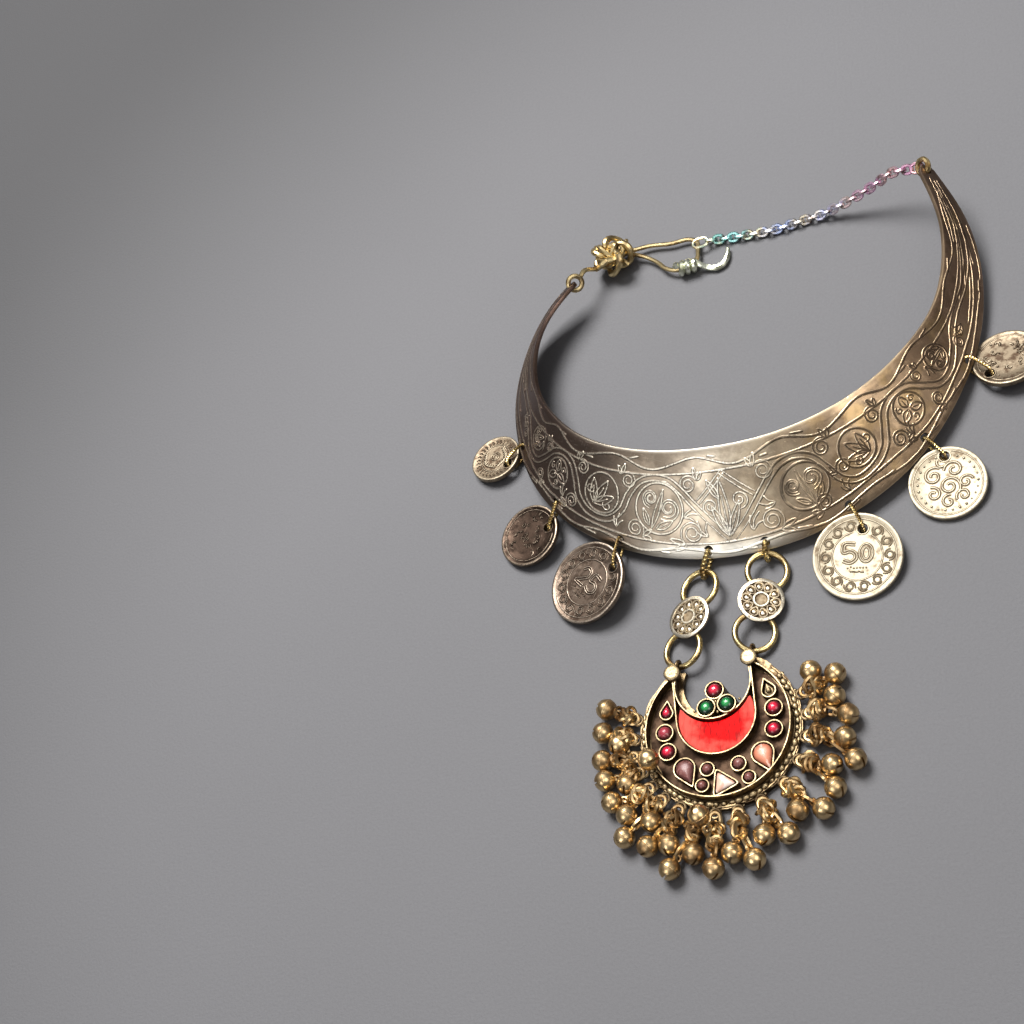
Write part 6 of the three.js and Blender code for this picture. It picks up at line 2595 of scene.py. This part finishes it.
@dataclass
class Clasp:
    """The closing wire with its knot and long eye, the hook bound to it, the chain and tip rings.

    Args:
        collar: The collar that it closes.
        gauge: Radius of the closing wire.
        ring_radius: Mean radius of a tip ring.
        ring_gauge: Radius of a tip ring's wire.
        knot: The knot's middle.
        knot_reach: Its mean radius.
        swell: How far its lobes swing out.
        rise: How far they swing up.
        pitch: The chain's length from link to link.
        hook_gauge: Radius of the hook's wire.
        binds: How often the hook's wire goes round the eye.
    """

    collar: Collar
    gauge: float = 0.62
    ring_radius: float = 1.95
    ring_gauge: float = 0.72
    knot: tuple[float, float, float] = (-34.0, 30.0, 4.7)
    knot_reach: float = 3.7
    swell: float = 1.9
    rise: float = 2.3
    pitch: float = 2.05
    hook_gauge: float = 0.86
    binds: int = 3

    KNOT_IN, KNOT_OUT = 0.805, 0.55  # shares of the knot's line where the neck and the eye join it
    NECK = ((-40.6, 23.6, 8.8), (-39.0, 25.4, 6.4))
    EYE = (
        (-27.6, 32.8, 2.0), (-23.8, 33.2, 1.8), (-17.8, 32.6, 1.7), (-12.6, 32.8, 1.7), (-10.1, 31.4, 1.75),
        (-9.8, 28.6, 1.75), (-10.0, 25.6, 1.8), (-11.4, 23.5, 2.0), (-13.4, 22.8, 2.3), (-15.8, 22.5, 2.35),
        (-18.8, 23.9, 2.2), (-21.2, 26.6, 1.9), (-24.2, 29.0, 1.9), (-27.4, 30.6, 2.2),
    )
    HOOK_AT = (-15.6, 22.55, 2.35)
    HOOK_TAIL = (
        (-10.6, 23.9, 3.1), (-9.0, 22.9, 2.3), (-7.2, 22.3, 1.4), (-4.8, 21.8, 1.0), (-2.8, 22.6, 1.0),
        (-1.7, 24.8, 1.0), (-1.4, 27.6, 1.0),
    )
    CHAIN_START = ((-11.2, 30.2, 2.15), (-6.9, 30.9, 2.0))
    CHAIN = (
        (-4.6, 31.1, 1.4), (0.7, 30.8, 1.27), (6.8, 30.6, 1.27), (12.2, 30.6, 1.27), (17.6, 31.4, 1.27),
        (22.4, 32.0, 1.3), (25.8, 32.1, 1.9), (29.4, 32.1, 3.4), (33.2, 32.2, 5.0), (37.4, 32.4, 6.9),
        (42.0, 32.6, 9.4), (46.4, 32.7, 12.2),
    )

    LOOPS = (
        (0.4, 3.4, 1.4, 0.75), (2.2, 4.2, 0.7, 0.7), (4.1, 2.4, 2.2, 0.8), (5.2, 3.0, 2.5, 0.7),
        (1.2, 4.6, 1.0, 0.6), (3.1, 4.0, 1.9, 0.7), (0.9, 2.0, 2.9, 0.75), (4.7, 4.9, 0.5, 0.55),
    )

    def tip(self, side: int) -> tuple[Vector, Vector, SheetFrame]:
        """A tip ring's middle, the direction out of the tip, and the sheet's frame there.

        Args:
            side: -1 for the left tip, 1 for the right.

        Returns:
            The middle, the direction and the frame.
        """
        turn = side * self.collar.tip_hole_turn
        at = self.collar.frame(turn)
        outwards = at.along * side
        return self.collar.hole_point(turn, at.width / 2) + outwards * self.ring_radius, outwards, at

    def knot_point(self, share: float) -> Vector:
        """A point of the knot's middle line.

        Args:
            share: The share of the line, from 0 to 1.

        Returns:
            The point.
        """
        turn = 2 * math.pi * share
        lobes, rounds = 5, 2
        reach = self.knot_reach + self.swell * math.cos(lobes * turn)
        lift = self.rise * math.sin(lobes * turn)
        way = Vector((reach * math.cos(rounds * turn), reach * math.sin(rounds * turn), lift))
        return Vector(self.knot) + way

    def tip_ring(self, work: Workpiece, side: int) -> None:
        """Adds a tip ring.

        Args:
            work: The piece in the making.
            side: -1 for the left tip, 1 for the right.
        """
        middle, outwards, at = self.tip(side)
        axis = outwards.cross(at.normal).normalized()
        ring = level_ring(self.ring_radius, self.ring_gauge, 30, 8)
        work.add(ring, basis(outwards, axis.cross(outwards), axis, middle))

    def build_wire(self, material: Material) -> Piece:
        """The closing wire: its ring, neck, knot and long eye.

        Args:
            material: Its finish.

        Returns:
            The finished object.
        """
        work = Workpiece("knotted_wire")
        self.tip_ring(work, -1)
        middle, outwards, _ = self.tip(-1)
        entry = [middle + outwards * self.ring_radius, *map(Vector, self.NECK), self.knot_point(self.KNOT_IN)]
        work.add(wire(curve_through(entry, 0.5), self.gauge, 8))
        twin = [point + Vector((0.5, -0.5, 0.25)) for point in entry[1:]]
        work.add(wire(curve_through([entry[0], *twin], 0.5), 0.45, 7))
        run = [self.knot_point(index / 140) for index in range(141)]
        work.add(wire(run, lambda share: self.gauge + 0.26 + 0.12 * math.sin(90 * share), 8))
        for lean, reach, rise, gauge in self.LOOPS:
            loop = []
            for index in range(41):
                turn = 2 * math.pi * index / 40
                along, lift = 0.8 * reach * math.sin(turn + lean), rise * math.sin(turn + 2 * lean) + 0.4
                loop.append(Vector(self.knot) + Vector((reach * math.cos(turn), along, lift)))
            work.add(wire(loop, gauge, 7))
        eye = curve_through([self.knot_point(self.KNOT_OUT), *map(Vector, self.EYE)], 0.6, closed=True)
        work.add(wire(eye, self.gauge, 8, closed=True, lifts=[UP] * len(eye)))
        return work.finish(material, Slot.CLASP, "clasp_wire")

    def build_hook(self, material: Material) -> Piece:
        """The hook: a wire bound three times round the long eye, its tail bent up to a point.

        Args:
            material: Its finish.

        Returns:
            The finished object.
        """
        work = Workpiece("bound_hook")
        axis = bearing(8)
        side = UP.cross(axis)
        reach = self.gauge + 0.78
        turns = []
        steps, apart = 12, 1.75
        for index in range(self.binds * steps + 1):
            angle = 2 * math.pi * index / steps
            turns.append(Vector(self.HOOK_AT) + axis * (apart * index / steps) + side * (reach * math.sin(angle))
                         + UP * (reach * math.cos(angle)))
        run = curve_through(turns + [Vector(point) for point in self.HOOK_TAIL], 0.35)
        point = 0.93  # the share from which it is drawn to a point
        work.add(wire(run, lambda share: self.hook_gauge - 5.0 * max(0.0, share - point), 8))
        return work.finish(material, Slot.HOOK, "clasp_hook")

    def build_chain(self, material: Material) -> Piece:
        """The chain: round links, each through the next, along its route.

        Args:
            material: Its finish.

        Returns:
            The finished object.
        """
        middle, _, at = self.tip(1)
        route = [Vector(point) for point in self.CHAIN]
        pull = route[-1] - middle
        held = (pull - at.across * pull.dot(at.across)).normalized()
        contact = middle + held * self.ring_radius
        to_ring = (contact - route[-1]).normalized()
        hooked = contact + to_ring * (self.ring_gauge + GAP + 0.4)
        end = hooked - to_ring * 3.4
        start_from, start_to = (Vector(point) for point in self.CHAIN_START)
        work = Workpiece("linked_chain")
        work.add(ring_between(start_from, start_to, 1.5, 0.4, UP.cross(start_to - start_from), 22, 7))
        step = 0.2
        line = curve_through([start_to, *route, end], step)
        steps = len(line) - 1
        count = round(step * steps / self.pitch)
        joints = [line[round(steps * index / count)] for index in range(count + 1)]
        for index, (first, last) in enumerate(zip(joints, joints[1:])):
            along = (last - first).normalized()
            reach, side = along * 0.42, sideways(along, 38 if index % 2 else -46)
            work.add(ring_between(first - reach, last + reach, 1.05, 0.46, side, 16, 6))
        work.add(ring_between(end, hooked, 1.2, 0.45, at.across.cross(hooked - end), 22, 7))
        return work.finish(material, Slot.CHAIN, "clasp_chain")

    def build_tip_ring(self, material: Material) -> Piece:
        """The ring through the right tip, which holds the chain's end.

        Args:
            material: Its finish.

        Returns:
            The finished object.
        """
        work = Workpiece("chain_tip_ring")
        self.tip_ring(work, 1)
        return work.finish(material, Slot.CLASP, "tip_ring")


# The studio -----------------------------------------------------------------------------------


@dataclass(frozen=True)
class Lamp:
    """A soft lamp: where it stands over the necklace, as a direction and a distance in metres, its
    size, its power and its tint, and whether it is a panel that only the metal mirrors."""

    name: str
    towards: tuple[float, float, float]
    distance: float
    size: float
    power: float
    tint: Colour = (1.0, 1.0, 1.0)
    mirrored: bool = False


@dataclass
class Studio:
    """The surface, the lamps, the sky and the camera.

    Args:
        lens: The camera's lens, in millimetres on a 36 mm frame.
        sky: The strength of the light from all round.
    """

    lens: float = 63.65
    sky: float = 0.26

    LAMPS = (
        Lamp("window", (-0.24, 0.44, 0.86), 1.1, 0.55, 22.0, (1.0, 0.985, 0.96)),
        Lamp("ceiling", (0.05, 0.05, 1.0), 1.5, 1.7, 5.0, (0.99, 0.99, 1.0), True),
        Lamp("front_panel", (-0.36, -0.63, 0.66), 1.2, 0.5, 3.4, (1.0, 0.99, 0.97), True),
        Lamp("right_panel", (0.55, -0.18, 0.80), 1.2, 0.55, 4.0, (1.0, 0.94, 0.84), True),
    )
    SKY = (
        (0.0, (0.10, 0.09, 0.09)), (0.12, (0.28, 0.26, 0.26)), (0.45, (0.75, 0.74, 0.76)), (1.0, (1.0, 1.0, 1.03)),
    )
    EYE = (0.1102, -0.2220, 0.3862)
    RIGHT = (0.9224, 0.0564, -0.3822)
    ABOVE = (0.1405, 0.8725, 0.4680)
    BACK = (0.3599, -0.4853, 0.7968)

    def build(self) -> None:
        """Sets the studio up."""
        self.floor()
        for lamp in self.LAMPS:
            self.lamp(lamp)
        self.world()
        self.camera()

    def floor(self) -> None:
        """Lays the plain surface."""
        body = bmesh.new()
        bmesh.ops.create_grid(body, x_segments=2, y_segments=2, size=3.0)
        mesh = bpy.data.meshes.new("surface")
        body.to_mesh(mesh)
        body.free()
        mesh.transform(Matrix.Translation((0, 0, -0.00002)))
        mesh.materials.append(FloorFinish().material())
        surface = bpy.data.objects.new("surface", mesh)
        bpy.context.scene.collection.objects.link(surface)

    def lamp(self, lamp: Lamp) -> None:
        """Hangs a lamp that faces the necklace.

        Args:
            lamp: The lamp.
        """
        light = bpy.data.lights.new(lamp.name, "AREA")
        light.shape = "SQUARE"
        light.size = lamp.size
        light.energy = lamp.power
        light.color = lamp.tint
        holder = bpy.data.objects.new(lamp.name, light)
        way = Vector(lamp.towards).normalized()
        aim = way.to_track_quat("Z", "Y").to_matrix().to_4x4()
        holder.matrix_world = Matrix.Translation(way * lamp.distance) @ aim
        holder.visible_diffuse = not lamp.mirrored
        bpy.context.scene.collection.objects.link(holder)

    def world(self) -> None:
        """Lights the scene from all round, more from above than from the walls."""
        world = bpy.data.worlds.new("studio")
        world.use_nodes = True
        world.node_tree.nodes.clear()
        nodes = Nodes(world.node_tree)
        way = nodes.add("TexCoord").outputs["Generated"]
        height = nodes.add("SeparateXYZ", Vector=way).outputs["Z"]
        light = nodes.add("Background", Color=nodes.ramp(height, self.SKY), Strength=self.sky)
        nodes.add("OutputWorld", Surface=light.outputs["Background"])
        bpy.context.scene.world = world

    def camera(self) -> None:
        """Sets the camera where it looks down over the necklace's right."""
        data = bpy.data.cameras.new("camera")
        data.lens = self.lens
        data.sensor_width = 36.0
        data.clip_start, data.clip_end = 0.01, 20.0
        data.dof.use_dof = False
        camera = bpy.data.objects.new("camera", data)
        camera.matrix_world = basis(Vector(self.RIGHT), Vector(self.ABOVE), Vector(self.BACK), Vector(self.EYE))
        bpy.context.scene.collection.objects.link(camera)
        bpy.context.scene.camera = camera
        bpy.context.scene.view_settings.view_transform = "Standard"


# The necklace ---------------------------------------------------------------------------------


@dataclass(frozen=True)
class Finishes:
    """Every finish of the necklace."""

    bright_coin: MetalFinish = MetalFinish(
        "bright_coin", (0.385, 0.34, 0.255), (0.20, 0.15, 0.10), (0.55, 0.50, 0.39), 0.58, 0.06, 500.0)
    toned_coin: MetalFinish = MetalFinish(
        "toned_coin", (0.23, 0.185, 0.13), (0.08, 0.053, 0.035), (0.44, 0.38, 0.28), 0.5, 0.35, 500.0)
    worn_coin: MetalFinish = MetalFinish(
        "worn_coin", (0.20, 0.15, 0.115), (0.045, 0.03, 0.022), (0.60, 0.51, 0.41), 0.40, 0.42)
    dark_coin: MetalFinish = MetalFinish(
        "dark_coin", (0.075, 0.05, 0.037), (0.018, 0.012, 0.009), (0.50, 0.40, 0.30), 0.40, 0.45, 300.0)
    ring_brass: MetalFinish = MetalFinish(
        "ring_brass", (0.62, 0.48, 0.22), (0.20, 0.12, 0.045), (0.96, 0.84, 0.50), 0.30, 0.30, 300.0, 0.03)
    pendant: MetalFinish = MetalFinish(
        "pendant_brass", (0.23, 0.165, 0.09), (0.05, 0.03, 0.016), (0.40, 0.31, 0.18), 0.46, 0.40, 400.0)
    cement: MetalFinish = MetalFinish(
        "dark_cement", (0.065, 0.04, 0.026), (0.03, 0.018, 0.012), (0.1, 0.07, 0.04), 0.6, 0.45, 300.0)
    bell: MetalFinish = MetalFinish(
        "bell_brass", (0.64, 0.47, 0.25), (0.24, 0.14, 0.06), (0.90, 0.72, 0.44), 0.34, 0.34, 180.0, 0.015)
    rosette: MetalFinish = MetalFinish(
        "rosette_metal", (0.50, 0.41, 0.28), (0.10, 0.065, 0.035), (0.86, 0.79, 0.64), 0.36, 0.3, 300.0, 0.03)
    clasp: MetalFinish = MetalFinish(
        "clasp_brass", (0.70, 0.55, 0.28), (0.20, 0.125, 0.05), (0.98, 0.88, 0.62), 0.34, 0.32, 300.0, 0.03)
    hook: MetalFinish = MetalFinish(
        "hook_metal", (0.88, 0.91, 0.76), (0.40, 0.41, 0.28), (0.97, 0.98, 0.86), 0.32, 0.3, 420.0, 0.04)
    red: StoneFinish = StoneFinish(
        "red_paste", (0.70, 0.012, 0.05), (0.10, 0.01, 0.015), (0.45, 0.09, 0.10), 0.25, gloss=0.45, glow=(0.6, 1.0))
    dark_red: StoneFinish = StoneFinish(
        "dark_red_paste", (0.36, 0.03, 0.05), (0.13, 0.02, 0.025), (0.36, 0.12, 0.12), 0.4, roughness=0.25, gloss=0.35)
    green: StoneFinish = StoneFinish(
        "green_paste", (0.02, 0.30, 0.07), (0.004, 0.03, 0.014), (0.20, 0.50, 0.28), 0.1, gloss=0.5, glow=(0.7, 1.0))
    mauve: StoneFinish = StoneFinish(
        "mauve_paste", (0.21, 0.07, 0.06), (0.09, 0.03, 0.026), (0.28, 0.13, 0.11), 0.45, roughness=0.3, gloss=0.35)
    orange: StoneFinish = StoneFinish(
        "orange_paste", (0.72, 0.28, 0.17), (0.36, 0.10, 0.055), (0.82, 0.52, 0.42), 0.45, 400.0, 0.25, (0.2, 1.0), 0.3)
    pale: StoneFinish = StoneFinish(
        "pale_paste", (0.80, 0.50, 0.38), (0.50, 0.22, 0.14), (0.92, 0.78, 0.70), 0.5, 400.0, 0.25, (0.0, 0.8), 0.3)


def dress_collar(collar: Collar) -> None:
    """Builds the collar and its engraving."""
    collar.build(CollarFinish("aged_plate").material())
    Engraving(collar).build(CollarFinish("engraved_lines", cut=True).material())


def dress_coins(collar: Collar, finishes: Finishes) -> None:
    """Builds the coins and their rings.

    Args:
        collar: The collar that they hang from.
        finishes: Every finish.
    """
    metals = {Age.BRIGHT: finishes.bright_coin, Age.TONED: finishes.toned_coin, Age.WORN: finishes.worn_coin,
              Age.DARK: finishes.dark_coin}
    materials = {age: metal.material() for age, metal in metals.items()}
    for coin in COINS:
        coin.build(materials[coin.age])
    brass = finishes.ring_brass.material()
    for ring, coin in zip(COIN_RINGS, COINS):
        ring.build(collar, coin, brass)


def dress_pendant(pendant: Pendant, finishes: Finishes) -> None:
    """Builds the pendant, its stones and its bells.

    Args:
        pendant: The pendant.
        finishes: Every finish.
    """
    metal = finishes.pendant.material()
    pendant.build(metal)
    pendant.build_ground(finishes.cement.material())
    pastes = {Slot.RED: finishes.red, Slot.DARK_RED: finishes.dark_red, Slot.GREEN: finishes.green,
              Slot.MAUVE: finishes.mauve, Slot.ORANGE: finishes.orange, Slot.PALE: finishes.pale}
    materials = {slot: paste.material() for slot, paste in pastes.items()}
    for stone in STONES:
        pendant.build_stone(stone, materials.get(stone.slot, metal))
    pendant.build_glass(GlassFinish(TO_FRAME @ pendant.place() @ Vector((0.8, 1.0, pendant.wall_height))).material())
    bells = Bells(pendant)
    brass, bell = finishes.bell.material(), bells.bell()
    for index, cluster in enumerate(CLUSTERS, 1):
        bells.build(index, cluster, bell, brass)
    bell.free()


def dress_hangers(collar: Collar, pendant: Pendant, finishes: Finishes) -> None:
    """Builds the hangers and their rings.

    Args:
        collar: The collar that they hang from.
        pendant: The pendant that they carry.
        finishes: Every finish.
    """
    brass, silvered = finishes.ring_brass.material(), finishes.rosette.material()
    for hanger in HANGERS:
        hanger.build(pendant, brass, silvered)
        hanger.build_ring(pendant, collar, brass)


def dress_clasp(collar: Collar, finishes: Finishes) -> None:
    """Builds the closing wire, the hook, the chain and the tip ring.

    Args:
        collar: The collar that it closes.
        finishes: Every finish.
    """
    clasp = Clasp(collar)
    brass = finishes.clasp.material()
    clasp.build_wire(brass)
    clasp.build_hook(finishes.hook.material())
    clasp.build_chain(ChainFinish().material())
    clasp.build_tip_ring(brass)


def main() -> None:
    """Builds the necklace on its frame."""
    logging.basicConfig(level=logging.INFO, format="%(message)s")
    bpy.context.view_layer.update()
    Studio().build()
    collar, pendant, finishes = Collar(), Pendant(), Finishes()
    dress_collar(collar)
    dress_coins(collar, finishes)
    dress_pendant(pendant, finishes)
    dress_hangers(collar, pendant, finishes)
    dress_clasp(collar, finishes)


if __name__ == "__main__":
    main()
